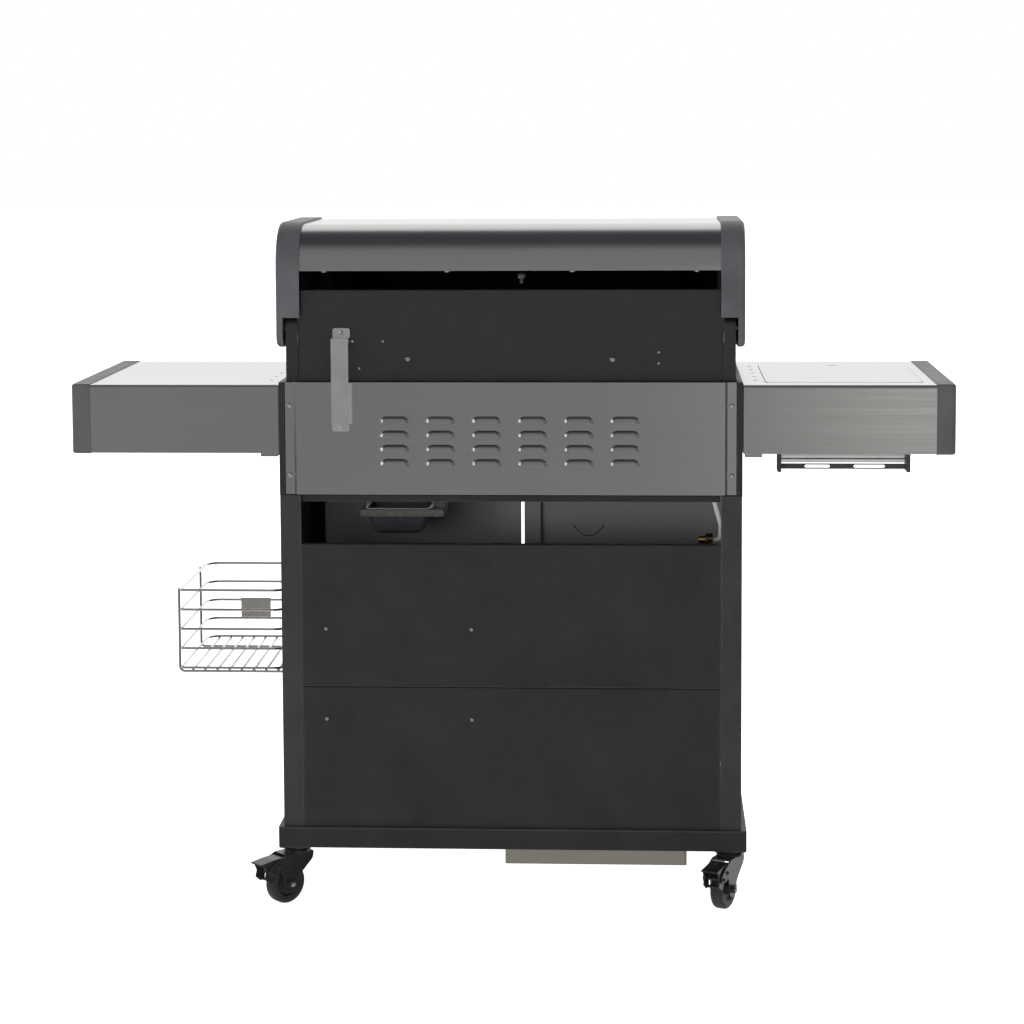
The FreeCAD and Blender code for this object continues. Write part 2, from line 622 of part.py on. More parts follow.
def gas_pipes():
    """Rigid pipes: rear burner line, side burner line with its valve, and the supply line."""
    end = MANIFOLD_HALF
    rear_line = bent_tube([(end, MANIFOLD_Y, MANIFOLD_Z), (365, MANIFOLD_Y, MANIFOLD_Z),
                           (365, MANIFOLD_Y, PIPE_RUN_Z), (365, -12, PIPE_RUN_Z),
                           (REAR_PIPE_X, -12, PIPE_RUN_Z), (REAR_PIPE_X, -12, PIPE_OUT_Z - 4),
                           (REAR_PIPE_X, 4, PIPE_OUT_Z + 6), (REAR_PIPE_X, 4, PIPE_IN_Z),
                           (REAR_PIPE_X, -31, PIPE_IN_Z)], 4.0, 8.0)
    valve_x, fascia, valve_z = SIDE_KNOB
    body, stem, nozzle = valve(valve_x, fascia, valve_z, -416.0, 24)
    side_line = bent_tube([(-end, -440.5, MANIFOLD_Z), (-372, -440, MANIFOLD_Z), (-395, -436.5, 782),
                           (-440, -428, 800), (valve_x, -426, 800), (valve_x, -426, valve_z - 9)], 4.0, 12.0)
    supply = bent_tube([(-330, MANIFOLD_Y, MANIFOLD_Z - 7), (-330, MANIFOLD_Y, 750), (-347, MANIFOLD_Y, 735),
                        (-347, MANIFOLD_Y, PIPE_RUN_Z), (-347, -62, PIPE_RUN_Z), (-341, -62, 680),
                        (-352, -66, 640),
                        (-352, -80, 612), (INLET_X - 4, -80, 612)], 4.5, 9.0)
    return [rear_line, join([side_line, body, stem, nozzle]), supply]


INLET_X = -334.0
INLET_Y = -80.0
INLET_Z = 612.0
INLET_RADIUS = 6.6
INLET_LENGTH = 12.0


def gas_inlet():
    """Brass inlet: a hexagon body and the threaded end that takes the bottle hose."""
    hexagon = hexagon_head((INLET_X - 4, INLET_Y, INLET_Z), (1, 0, 0), 19, 12)
    neck = rod((INLET_X + 8, INLET_Y, INLET_Z), (INLET_X + 8 + INLET_LENGTH, INLET_Y, INLET_Z), INLET_RADIUS)
    bore = rod((INLET_X + 4, INLET_Y, INLET_Z), (INLET_X + 30, INLET_Y, INLET_Z), 3.0)
    return cut(join([hexagon, neck]), [bore])


def control_panel():
    """Folded front fascia with a hole for each valve stem."""
    outline = [(-433, BOX_RIM - 2, 0), (PANEL_FACE, BOX_RIM - 2, 12), (PANEL_FACE, 712, 5), (-433, 712, 0)]
    span = (-CABINET_HALF, CABINET_HALF)
    shell = side_prism(outline, span)
    inside = side_prism([(-430, BOX_RIM - 3.5, 0), (PANEL_FACE + 1.5, BOX_RIM - 3.5, 10.5),
                         (PANEL_FACE + 1.5, 713.5, 3.5), (-430, 713.5, 0)], (span[0] + 1.5, span[1] - 1.5))
    notch = both_sides(box((CHEEK_INNER - 1, CABINET_HALF + 1), (BOX_FRONT - 1, -430), (711, BOX_RIM)))
    stem_holes = [rod((x, -475, KNOB_Z), (x, -460, KNOB_Z), 6) for x in BURNER_X + (REAR_KNOB_X,)]
    rim_relief = box((-CHEEK_INNER - 1, CHEEK_INNER + 1), (-453, -420), (BOX_RIM - 6, BOX_RIM + 1))
    pipe_notch = box((-CABINET_HALF - 1, -CABINET_HALF + 3), (-452, -430), (760, 800))
    return cut(shell, [inside, rim_relief, pipe_notch] + notch + stem_holes)


def knob_positions():
    """Name, x, face and z of every knob."""
    places = [("burner_%d_knob" % (index + 1), x, PANEL_FACE, KNOB_Z) for index, x in enumerate(BURNER_X)]
    places.append(("rear_burner_knob", REAR_KNOB_X, PANEL_FACE, KNOB_Z))
    places.append(("side_burner_knob",) + SIDE_KNOB)
    return places


def knob_bezels():
    """Round trim ring behind each knob."""
    rings = []
    for name, x, face, z in knob_positions():
        ring = Part.makeCone(KNOB_RADIUS + 5, KNOB_RADIUS + 2, 5.5, Vector(x, face, z), Vector(0, -1, 0))
        rings.append(cut(ring, [rod((x, face + 1, z), (x, face - 8, z), 6)]))
    return rings


def knob(x, face, z):
    """Knob with a raised finger grip and a blind bore on the valve stem."""
    back = face - 5.5 - BODY_GAP
    skirt = Part.makeCone(KNOB_RADIUS, KNOB_RADIUS - 2.5, 13, Vector(x, back, z), Vector(0, -1, 0))
    grip = rear_prism(rectangle((x - 5.5, x + 5.5), (z - 20, z + 20), 5),
                      (back - 12, back - 28))
    bore = rod((x, back + 1, z), (x, face - 24 - BODY_GAP, z), STEM_RADIUS + RUNNING_GAP)
    pointer = box((x - 1, x + 1), (back - 28.5, back - 27), (z + 8, z + 19))
    return cut(join([skirt, grip, pointer]), [bore])


# ---- Lid ----

LID_OUTLINE = [(LID_REAR, 945.0, 20.0), (LID_REAR, LID_TOP, 72.0), (-385.0, LID_TOP, 120.0),
               (-470.0, 925.0, 7.0)]
CAP_SKIN = 3.5
FRONT_SLOPE = (470.0 - 385.0) / (LID_TOP - 925.0)


def lid_front_y(z):
    """Depth of the lid's sloping front face at a height."""
    return -470.0 + (z - 925.0) * FRONT_SLOPE


def lid_skin():
    """Stainless lid sheet between the two end castings, open below, with a stiffening fold behind."""
    span = (-LID_INNER - 4, LID_INNER + 4)
    outer = inset_side_prism(LID_OUTLINE, CAP_SKIN + 0.1, span)
    inner = inset_side_prism(LID_OUTLINE, CAP_SKIN + 1.3, span)
    below = side_prism([(10, LID_REAR_EDGE, 0), (-240, LID_REAR_EDGE, 0), (-240, 943, 0), (-500, 932, 0),
                        (-500, 900, 0), (10, 900, 0)], (span[0] - 1, span[1] + 1))
    fold = box((-LID_INNER, LID_INNER), (LID_REAR - 20, LID_REAR - CAP_SKIN - 0.6),
               (LID_REAR_EDGE, LID_REAR_EDGE + 1.2))
    front_fold = box((-LID_INNER, LID_INNER), (lid_front_y(935) + 4.2, lid_front_y(935) + 20), (934.4, 935.6))
    seat, outwards = thermometer_seat()
    dial_hole = Part.makeCylinder(5.3, 20, seat - outwards * 10, outwards)
    return join([cut(outer, [inner, below, dial_hole]), fold, front_fold])


def lid_end_caps():
    """Black end castings: a side plate with a softly rounded rim that laps over the lid sheet."""
    blank = side_prism(LID_OUTLINE, (LID_INNER, LID_HALF))
    outer_edges = [edge for edge in blank.Edges
                   if min(vertex.X for vertex in edge.Vertexes) > LID_HALF - 0.01]
    blank = blank.makeFillet(6.5, outer_edges)
    plate_inside = LID_HALF - 11.4
    cavity = inset_side_prism(LID_OUTLINE, CAP_SKIN, (LID_INNER - 1, plate_inside))
    below = side_prism([(10, 997, 0), (-60, 985, 0), (-300, 945, 0), (-462, 931, 0), (-480, 931, 0),
                        (-480, 900, 0), (10, 900, 0)], (LID_INNER - 1, plate_inside))
    pin_bore = rod((plate_inside - 1, HINGE_Y, HINGE_Z), (LID_HALF - 3.2, HINGE_Y, HINGE_Z), 4 + RUNNING_GAP)
    return both_sides(cut(blank, [cavity, below, pin_bore]))


HANDLE_Z = 978.0
HANDLE_Y = -501.0


def lid_handle():
    """Bar handle on two black posts."""
    bar = rod((-300, HANDLE_Y, HANDLE_Z), (300, HANDLE_Y, HANDLE_Z), 11)
    posts = []
    for x in (-262, 262):
        foot = Part.makeCone(15, 12, HANDLE_Y * -1 + lid_front_y(HANDLE_Z) - 4,
                             Vector(x, lid_front_y(HANDLE_Z) - 4, HANDLE_Z), Vector(0, -1, 0))
        root = side_prism([(lid_front_y(HANDLE_Z + 16) + 3.7, HANDLE_Z + 16, 2),
                           (lid_front_y(HANDLE_Z - 16) + 3.7, HANDLE_Z - 16, 2),
                           (lid_front_y(HANDLE_Z) - 8, HANDLE_Z - 16, 2),
                           (lid_front_y(HANDLE_Z) - 8, HANDLE_Z + 16, 2)], (x - 16, x + 16))
        posts.append(cut(join([foot, root]), [bar]))
    return [bar] + posts


THERMOMETER_Z = 1031.0


def thermometer_seat():
    """Where the dial sits on the sloping front of the lid, and the direction it faces."""
    tilt = math.atan(FRONT_SLOPE)
    outwards = Vector(0, -math.cos(tilt), math.sin(tilt))
    return Vector(0, lid_front_y(THERMOMETER_Z), THERMOMETER_Z) - outwards * (CAP_SKIN + 0.1), outwards


def thermometer():
    """Dial thermometer set square to the sloping front, with its stem and nut inside the lid."""
    seat, outwards = thermometer_seat()
    case = Part.makeCylinder(36, 13, seat, outwards)
    recess = Part.makeCylinder(32, 4, seat + outwards * 10, outwards)
    shank = Part.makeCylinder(5, 22, seat - outwards * 22, outwards)
    washer = Part.makeCylinder(14, 3, seat - outwards * 4.2, outwards)
    nut = hexagon_head(tuple(seat - outwards * 4.2), tuple(outwards * -1), 20, 7)
    return join([cut(case, [recess]), shank, washer, nut])


def hinge_pins():
    """Lid pins in the cheeks, door pins above and below, and the side lid's long pin."""
    lid_pin = rod((CHEEK_OUTER - 14, HINGE_Y, HINGE_Z), (LID_HALF - 4, HINGE_Y, HINGE_Z), 4)
    low_pin = rod((DOOR_PIVOT_X, DOOR_PIVOT_Y, BASE_TOP), (DOOR_PIVOT_X, DOOR_PIVOT_Y, DOOR_BOTTOM + 10),
                  DOOR_PIN)
    high_pin = rod((DOOR_PIVOT_X, DOOR_PIVOT_Y, DOOR_TOP - 10), (DOOR_PIVOT_X, DOOR_PIVOT_Y, 694), DOOR_PIN)
    pins = both_sides(lid_pin) + both_sides(low_pin) + both_sides(high_pin)
    middle = (SIDE_LID_X[0] + SIDE_LID_X[1]) / 2
    pins.append(rod((middle - SIDE_HINGE_HALF, SIDE_HINGE_Y, SIDE_HINGE_Z),
                    (middle + SIDE_HINGE_HALF, SIDE_HINGE_Y, SIDE_HINGE_Z), SIDE_PIN))
    return pins


# ---- Shelves and side burner ----

SIDE_HINGE_HALF = 127.5
SIDE_HINGE_Y = SIDE_LID_Y[1] + 3.0
SIDE_HINGE_Z = SHELF_TOP - 2.2
SIDE_BARREL = 2.5
SIDE_PIN = 1.2
SIDE_KNUCKLES = 5
SIDE_LID_GAP = 1.2
HOOK_HOLES_Y = (-85.0, -149.0, -213.0, -277.0, -341.0)


def shelf_pan():
    """Right shelf: a folded sheet open below, with a row of holes by its inner edge and a fixing tab."""
    x = (SHELF_INNER, SHELF_OUTER)
    outline = [(SHELF_REAR, SHELF_BOTTOM, 0), (SHELF_REAR, SHELF_TOP, 6), (SHELF_FRONT, SHELF_TOP, 6),
               (SHELF_FRONT, SHELF_BOTTOM, 0)]
    inner = [(SHELF_REAR - SHEET, SHELF_BOTTOM - 1, 0), (SHELF_REAR - SHEET, SHELF_TOP - SHEET, 4.8),
             (SHELF_FRONT + SHEET, SHELF_TOP - SHEET, 4.8), (SHELF_FRONT + SHEET, SHELF_BOTTOM - 1, 0)]
    pan = cut(side_prism(outline, x), [side_prism(inner, (x[0] - 1, x[1] + 1))])
    folds = [box(x, (SHELF_REAR - 12, SHELF_REAR - 0.6), (SHELF_BOTTOM, SHELF_BOTTOM + SHEET)),
             box(x, (SHELF_FRONT + 0.6, SHELF_FRONT + 12), (SHELF_BOTTOM, SHELF_BOTTOM + SHEET))]
    end_wall = box((x[0], x[0] + SHEET), (SHELF_REAR - 0.6, -424), (SHELF_BOTTOM, SHELF_TOP - 1))
    tab = box((390, 418), (SHELF_REAR - 30, SHELF_REAR - 2), (SHELF_BOTTOM - 6, SHELF_BOTTOM + 0.6))
    holes = [rod((409.5, y, SHELF_TOP - 5), (409.5, y, SHELF_TOP + 5), 3.6) for y in HOOK_HOLES_Y]
    return cut(join([pan, end_wall, tab] + folds), holes)


def side_knuckles(numbers, leaf_y, leaf_z):
    """Barrel knuckles of the side lid's hinge, each with a leaf to its sheet, and the pin's bore."""
    middle = (SIDE_LID_X[0] + SIDE_LID_X[1]) / 2
    pitch = 2 * SIDE_HINGE_HALF / SIDE_KNUCKLES
    pieces = []
    for number in numbers:
        start = middle - SIDE_HINGE_HALF + number * pitch + BODY_GAP
        end = start + pitch - 2 * BODY_GAP
        pieces.append(rod((start, SIDE_HINGE_Y, SIDE_HINGE_Z), (end, SIDE_HINGE_Y, SIDE_HINGE_Z),
                          SIDE_BARREL))
        pieces.append(box((start, end), leaf_y, leaf_z))
    bore_half = SIDE_HINGE_HALF + 20
    bore = rod((middle - bore_half, SIDE_HINGE_Y, SIDE_HINGE_Z),
               (middle + bore_half, SIDE_HINGE_Y, SIDE_HINGE_Z), SIDE_PIN + RUNNING_GAP)
    return pieces, bore


def left_shelf():
    """Mirror of the right shelf, with the opening, hinge knuckles and valve hole of the side burner."""
    shelf = both_sides(shelf_pan())[1]
    rear_edge = SIDE_HINGE_Y + 3.4
    opening = plan_prism(rectangle((SIDE_LID_X[0] - SIDE_LID_GAP, SIDE_LID_X[1] + SIDE_LID_GAP),
                                   (SIDE_LID_Y[0] - SIDE_LID_GAP, rear_edge), 8),
                                   (SHELF_TOP - 5, SHELF_TOP + 5))
    stem_hole = rod((SIDE_KNOB[0], SHELF_FRONT - 2, SIDE_KNOB[2]),
                    (SIDE_KNOB[0], SHELF_FRONT + 5, SIDE_KNOB[2]), 6)
    knuckles, bore = side_knuckles(range(0, SIDE_KNUCKLES, 2), (SIDE_HINGE_Y, rear_edge + 1),
                                   (SHELF_TOP - SHEET, SHELF_TOP))
    return cut(join([cut(shelf, [opening, stem_hole])] + knuckles), [bore])


def shelf_end_cap():
    """Moulded end cap of the right shelf, open towards the shelf."""
    proud = 1.2
    y = (SHELF_FRONT - proud, SHELF_REAR + proud)
    z = (SHELF_BOTTOM - proud, SHELF_TOP + proud)
    blank = plan_prism([(SHELF_OUTER, y[0], 0), (SHELF_END, y[0], 9), (SHELF_END, y[1], 9),
                        (SHELF_OUTER, y[1], 0)], z)
    outer_edges = [edge for edge in blank.Edges
                   if min(vertex.X for vertex in edge.Vertexes) > SHELF_OUTER + 1
                   and abs(edge.Vertexes[0].Z - edge.Vertexes[-1].Z) < 0.01]
    blank = blank.makeFillet(4.0, outer_edges)
    hollow = plan_prism([(SHELF_OUTER - 1, y[0] + 3, 0), (SHELF_END - 3, y[0] + 3, 6),
                         (SHELF_END - 3, y[1] - 3, 6), (SHELF_OUTER - 1, y[1] - 3, 0)], (z[0] + 3, z[1] - 3))
    return cut(blank, [hollow])


def side_burner_lid():
    """Flat lid flush with the shelf, with a hand notch in front and its knuckles behind."""
    z = (SHELF_TOP - 1.1, SHELF_TOP + 0.4)
    blank = plan_prism(rectangle(SIDE_LID_X, SIDE_LID_Y, 9), z)
    middle = (SIDE_LID_X[0] + SIDE_LID_X[1]) / 2
    notch = rod((middle, SIDE_LID_Y[0] - 9, z[0] - 1), (middle, SIDE_LID_Y[0] - 9, z[1] + 1), 18)
    knuckles, bore = side_knuckles(range(1, SIDE_KNUCKLES, 2), (SIDE_LID_Y[1] - 1, SIDE_HINGE_Y),
                                   (SHELF_TOP - 1.1, SHELF_TOP + 0.3))
    return cut(join([cut(blank, [notch])] + knuckles), [bore])


BOWL_X = (-660.0, -452.0)
BOWL_Y = (-342.0, -68.0)
BOWL_BOTTOM = 743.5
BOWL_SKIN = 1.0
BRACKET_X = (-663.2, -448.8)
BRACKET_SLOTS = ((-512.4, 21.0), (-599.0, 26.0))


def side_burner_bowl():
    """Polished drip bowl of the side burner, with round lower edges, hung under the shelf by its rim."""
    top = SHELF_TOP - 2.0

    def tub(inset, height):
        low = BOWL_BOTTOM + inset
        bend = 16 - inset
        return side_prism([(BOWL_Y[0] + inset, low, bend), (BOWL_Y[1] - inset, low, bend),
                           (BOWL_Y[1] - inset, height, 0), (BOWL_Y[0] + inset, height, 0)],
                          (BOWL_X[0] + inset, BOWL_X[1] - inset))

    rim = box((SIDE_LID_X[0] - 7, SIDE_LID_X[1] + 7), (SIDE_LID_Y[0] - 7, SIDE_LID_Y[1] - 1),
              (top - 1.2, top))
    rim_hole = box((BOWL_X[0] + BOWL_SKIN, BOWL_X[1] - BOWL_SKIN),
                   (BOWL_Y[0] + BOWL_SKIN, BOWL_Y[1] - BOWL_SKIN),
                   (top - 4, top + 3))
    gas_hole = rod((SIDE_KNOB[0], BOWL_Y[0] - 3, SIDE_KNOB[2]),
                   (SIDE_KNOB[0], BOWL_Y[0] + 5, SIDE_KNOB[2]), 9.3)
    return cut(join([tub(0, top), rim]), [tub(BOWL_SKIN, top + 2), rim_hole, gas_hole])


def side_burner_bracket():
    """End plates and a slotted rail, which hold up the rear of the bowl."""
    ends = [box((x - 3, x + 3), (-92, -50), (731.5, SHELF_BOTTOM + 2)) for x in BRACKET_X]
    rail = rear_prism(rectangle(BRACKET_X, (735.5, 744.5), 2), (-66, -63))
    slots = [rear_prism(rectangle((x - half, x + half), (737.5, 742.5), 2.4), (-68, -60))
             for x, half in BRACKET_SLOTS]
    lip = box(BRACKET_X, (-66, -50), (SHELF_BOTTOM - 3, SHELF_BOTTOM - 0.4))
    return join([cut(rail, slots), lip] + ends)


def side_burner_head():
    """Round burner: mixing tube, body and a cap with a ring of flame ports."""
    cx, cy = SIDE_BURNER_CENTRE
    tube = cut(rod((cx, -410, SIDE_KNOB[2]), (cx, cy, SIDE_KNOB[2]), 9),
               [rod((cx, -411, SIDE_KNOB[2]), (cx, cy - 30, SIDE_KNOB[2]), 7.6)])
    body = Part.makeCone(30, 42, 22, Vector(cx, cy, 814), Vector(0, 0, 1))
    cap = Part.makeCone(46, 38, 9, Vector(cx, cy, 836), Vector(0, 0, 1))
    foot = rod((cx, cy, BOWL_BOTTOM + BOWL_SKIN), (cx, cy, 816), 10)
    ports = []
    for index in range(24):
        angle = index * math.pi / 12
        start = (cx + 36 * math.cos(angle), cy + 36 * math.sin(angle), 832)
        end = (cx + 50 * math.cos(angle), cy + 50 * math.sin(angle), 832)
        ports.append(rod(start, end, 1.4))
    return cut(join([tube, body, cap, foot]), ports)


def side_burner_grate():
    """Cast pan support: a ring with four arms that rest on the bowl's rim."""
    cx, cy = SIDE_BURNER_CENTRE
    ring = rod((cx, cy, 866), (cx, cy, 874), 62).cut(rod((cx, cy, 860), (cx, cy, 880), 54))
    arms = []
    half_x = (BOWL_X[1] - BOWL_X[0]) / 2 - 2
    for dx, dy, reach in ((1, 0, half_x - 1), (-1, 0, half_x - 1), (0, 1, 115), (0, -1, 115)):
        far = (cx + dx * reach, cy + dy * reach)
        near = (cx + dx * 22, cy + dy * 22)
        arms.append(box((min(near[0], far[0]) - 3 * abs(dy), max(near[0], far[0]) + 3 * abs(dy)),
                        (min(near[1], far[1]) - 3 * abs(dx), max(near[1], far[1]) + 3 * abs(dx)), (866, 876)))
    rails = [box((cx - half_x, cx + half_x), (cy + side * 115 - 3, cy + side * 115 + 3), (866, 874))
             for side in (-1, 1)]
    rails += [box((cx + side * (half_x - 3) - 3, cx + side * (half_x - 3) + 3), (cy - 115, cy + 115),
                  (866, 874))
              for side in (-1, 1)]
    feet = [box((cx + sx * 84 - 3, cx + sx * 84 + 3),
                (cy + sy * 112 - 3, cy + sy * 112 + 3), (BOWL_BOTTOM + BOWL_SKIN, 868))
            for sx in (-1, 1) for sy in (-1, 1)]
    return join([ring] + arms + rails + feet)


# ---- Wire basket ----

BASKET_X = (CABINET_HALF + 4.5, 570.0)
BASKET_Y = (-356.0, -78.0)
BASKET_TOP = 522.0
BASKET_PITCH = 33.6
BASKET_WIRE = 2.2
BASKET_BEND = 25.0
BASKET_UPRIGHTS_Y = (-300.0, -86.0)
BASKET_HOOKS_Y = (-300.0, -134.0)


def wire_ring(z):
    """Closed wire ring with round corners, the rear outer one tight, started half way along the front."""
    middle = (BASKET_X[0] + BASKET_X[1]) / 2
    ends = [(middle, BASKET_Y[0], z), (middle, BASKET_Y[1], z)]
    inner = [(BASKET_X[0], BASKET_Y[0], z), (BASKET_X[0], BASKET_Y[1], z)]
    outer = [(BASKET_X[1], BASKET_Y[0], z), (BASKET_X[1], BASKET_Y[1], z)]
    return join([bent_tube([ends[0]] + inner + [ends[1]], BASKET_WIRE, BASKET_BEND, BASKET_BEND),
                 bent_tube([ends[0]] + outer + [ends[1]], BASKET_WIRE, BASKET_BEND, 5)])


def basket_sectors():
    """Four prisms that part the basket's walls at its corners: front, outer, rear and inner."""
    (x0, x1), (y0, y1) = BASKET_X, BASKET_Y
    half = (x1 - x0) / 2
    margin = 20.0
    corners = [(x0 - margin, y0 - margin), (x1 + margin, y0 - margin), (x1 + margin, y1 + margin),
               (x0 - margin, y1 + margin)]
    ridge = [(x0 + half, y0 + half), (x0 + half, y1 - half)]
    outlines = [[corners[0], corners[1], ridge[0]], [corners[1], corners[2], ridge[1], ridge[0]],
                [corners[2], corners[3], ridge[1]], [corners[3], corners[0], ridge[0], ridge[1]]]
    height = (BASKET_TOP - 5 * BASKET_PITCH, BASKET_TOP + 30)
    return [plan_prism([(x, y, 0) for x, y in outline], height) for outline in outlines]


def basket():
    """Chrome wire basket: rings parted at the corners, uprights, floor wires, hooks and plate."""
    rings = [wire_ring(BASKET_TOP - level * BASKET_PITCH) for level in range(5)]
    step = 2 * BASKET_WIRE - 0.6
    floor_z = BASKET_TOP - 4 * BASKET_PITCH - step
    under_z = floor_z - step
    bend = 8.0
    uprights = []
    floor = []
    for index in range(8):
        x = BASKET_X[0] + 14 + index * (BASKET_X[1] - BASKET_X[0] - 34) / 7
        floor.append(rod((x, BASKET_Y[0] - 3, floor_z), (x, BASKET_Y[1] + 3, floor_z), BASKET_WIRE))
    outer = BASKET_X[1] + step
    above_bend = box((outer - 10, outer + 10), (BASKET_Y[0], BASKET_Y[1] + 10),
                     (under_z + bend + 0.5, BASKET_TOP + 20))
    for y in BASKET_UPRIGHTS_Y:
        wire = bent_tube([(outer, y, BASKET_TOP + 2), (outer, y, under_z), (BASKET_X[0], y, under_z)],
                         BASKET_WIRE, bend)
        uprights += wire.common(above_bend).Solids
        floor += wire.cut(above_bend).Solids
    hooks = [bent_tube([(BASKET_X[0], y, BASKET_TOP - BASKET_PITCH - 4), (BASKET_X[0], y, BASKET_TOP + 12),
                        (CABINET_HALF - 9, y, BASKET_TOP + 12)], BASKET_WIRE, 4) for y in BASKET_HOOKS_Y]
    plate = box((455, 509), (BASKET_Y[0] + BASKET_WIRE + 0.2, BASKET_Y[0] + BASKET_WIRE + 1.4), (424, 459))
    walls = []
    for sector in basket_sectors():
        wires = []
        for wire in rings + uprights + hooks:
            wires += wire.common(sector).Solids
        walls += join(wires).Solids
    return walls + cut(join(floor), walls).Solids + [plate]


def basket_slots(panel):
    """Side panel with a hole for each basket hook."""
    return cut(panel, [rod((CABINET_HALF - 3, y, BASKET_TOP + 12), (CABINET_HALF + 1, y, BASKET_TOP + 12),
                           2.7)
                       for y in BASKET_HOOKS_Y])


# ---- Fasteners ----

def screws():
    """Every visible screw of the rear: panels, shield, rear wall and tube cover."""
    parts = [pan_head_screw(x, 0.0, z, shank=3.0) for x, z in PANEL_SCREWS]
    parts += [pan_head_screw(x, -3.0, z, shank=3.5) for x, z in SHIELD_SCREWS]
    parts += [pan_head_screw(x, REAR_WALL_Y, z, 5.4, 3.0, 3.0) for x, z in WALL_SCREWS[:2]]
    parts += [pan_head_screw(x, REAR_WALL_Y, z, 3.0, 2.0, 3.0) for x, z in WALL_SCREWS[2:-1]]
    parts.append(pan_head_screw(WALL_SCREWS[-1][0], REAR_WALL_Y + 1.0, WALL_SCREWS[-1][1], 3.6, 2.0, 3.0))
    parts.append(pan_head_screw(REAR_PIPE_X, 1.0, 811.0, 3.6, 2.0, 3.0))
    return parts


def screw_holes():
    """Cylinders that clear every screw shank, to cut from the sheets."""
    places = [(x, 0.0, z) for x, z in PANEL_SCREWS]
    places += [(x, -3.0, z) for x, z in SHIELD_SCREWS]
    places += [(x, REAR_WALL_Y, z) for x, z in WALL_SCREWS]
    places.append((REAR_PIPE_X, 0.0, 811.0))
    return [rod((x, y - 6, z), (x, y + 3, z), 1.9) for x, y, z in places]


# ---- Castors, each built with its trail along +X and its pivot on the origin ----

FORK_TOP = 89.5
BRAKE_PIVOT = (65.0, 60.0)


def castor_plate():
    """Top plate with its bolts and the fixed half of the swivel race, with the king pin."""
    plate = box((-26, 26), (-26, 26), (BASE_BOTTOM - 2.5, BASE_BOTTOM))
    race = Part.makeCone(20, 23, BASE_BOTTOM - 2.5 - FORK_TOP - BODY_GAP, Vector(0, 0, FORK_TOP + BODY_GAP))
    pin = rod((0, 0, 80.5), (0, 0, BASE_BOTTOM - 3), 5)
    return join([plate, race, pin])


def castor_fork(has_brake):
    """Pressed fork: swivel race, crown and two legs that hold the axle bolt."""
    crown_top = FORK_TOP - 3.5
    race = rod((0, 0, crown_top - 0.5), (0, 0, FORK_TOP), 22.5)
    crown = plan_prism([(-22, -17.5, 12), (36, -17.5, 4), (36, 17.5, 4), (-22, 17.5, 12)],
                       (crown_top - 2.5, crown_top))
    brake_tail = [(58.0, 76.0, 6), (72.0, 66.0, 5), (72.0, 54.0, 5), (55.0, 54.0, 4), (46.0, 61.0, 5)]
    plain_tail = [(48.0, 74.0, 8), (42.0, 60.0, 10)]
    tail = brake_tail if has_brake else plain_tail
    leg_outline = [(-22, crown_top, 4), (34, crown_top, 8)] + tail + [
        (CASTOR_TRAIL + 14, WHEEL_RADIUS + 6, 6), (CASTOR_TRAIL + 12, WHEEL_RADIUS - 14, 11.5),
        (CASTOR_TRAIL - 12, WHEEL_RADIUS - 14, 11.5), (CASTOR_TRAIL - 15, WHEEL_RADIUS + 10, 12),
        (-20, 72, 10)]
    legs = [rear_prism(leg_outline, (side * 15.0, side * 17.5)) for side in (-1, 1)]
    axle = rod((CASTOR_TRAIL, -20, WHEEL_RADIUS), (CASTOR_TRAIL, 20, WHEEL_RADIUS), 4)
    head = hexagon_head((CASTOR_TRAIL, 17.4, WHEEL_RADIUS), (0, 1, 0), 13, 5)
    nut = hexagon_head((CASTOR_TRAIL, -17.4, WHEEL_RADIUS), (0, -1, 0), 13, 5)
    pieces = [race, crown, axle, head, nut] + legs
    if has_brake:
        pieces.append(rod((BRAKE_PIVOT[0], -18.7, BRAKE_PIVOT[1]), (BRAKE_PIVOT[0], 18.7, BRAKE_PIVOT[1]), 3))
        for side in (-1, 1):
            pieces.append(Part.makeSphere(3.2, Vector(BRAKE_PIVOT[0], side * 17.6, BRAKE_PIVOT[1])))
            pieces.append(Part.makeSphere(3.2, Vector(50, side * 17.6, 68)))
    pin_hole = rod((0, 0, 70), (0, 0, FORK_TOP + 1), 5 + RUNNING_GAP)
    return cut(join(pieces), [pin_hole])


def castor_wheel():
    """Solid black wheel with a rounded tread, dished sides and a hub."""
    half = WHEEL_WIDTH / 2
    floor = half - 5
    profile = [(4 + RUNNING_GAP, -half - 2, 0), (10, -half - 2, 1), (11, -floor, 1), (19.5, -floor, 1.5),
               (22.5, -half + 0.6, 1), (27, -half, 1), (WHEEL_RADIUS, -half, 6), (WHEEL_RADIUS, half, 6),
               (27, half, 1), (22.5, half - 0.6, 1), (19.5, floor, 1.5), (11, floor, 1), (10, half + 2, 1),
               (4 + RUNNING_GAP, half + 2, 0)]
    wire = rounded_wire(profile, lambda point: Vector(CASTOR_TRAIL + point.x, point.y, WHEEL_RADIUS))
    return Part.Face(wire).revolve(Vector(CASTOR_TRAIL, 0, WHEEL_RADIUS), Vector(0, 1, 0), 360)


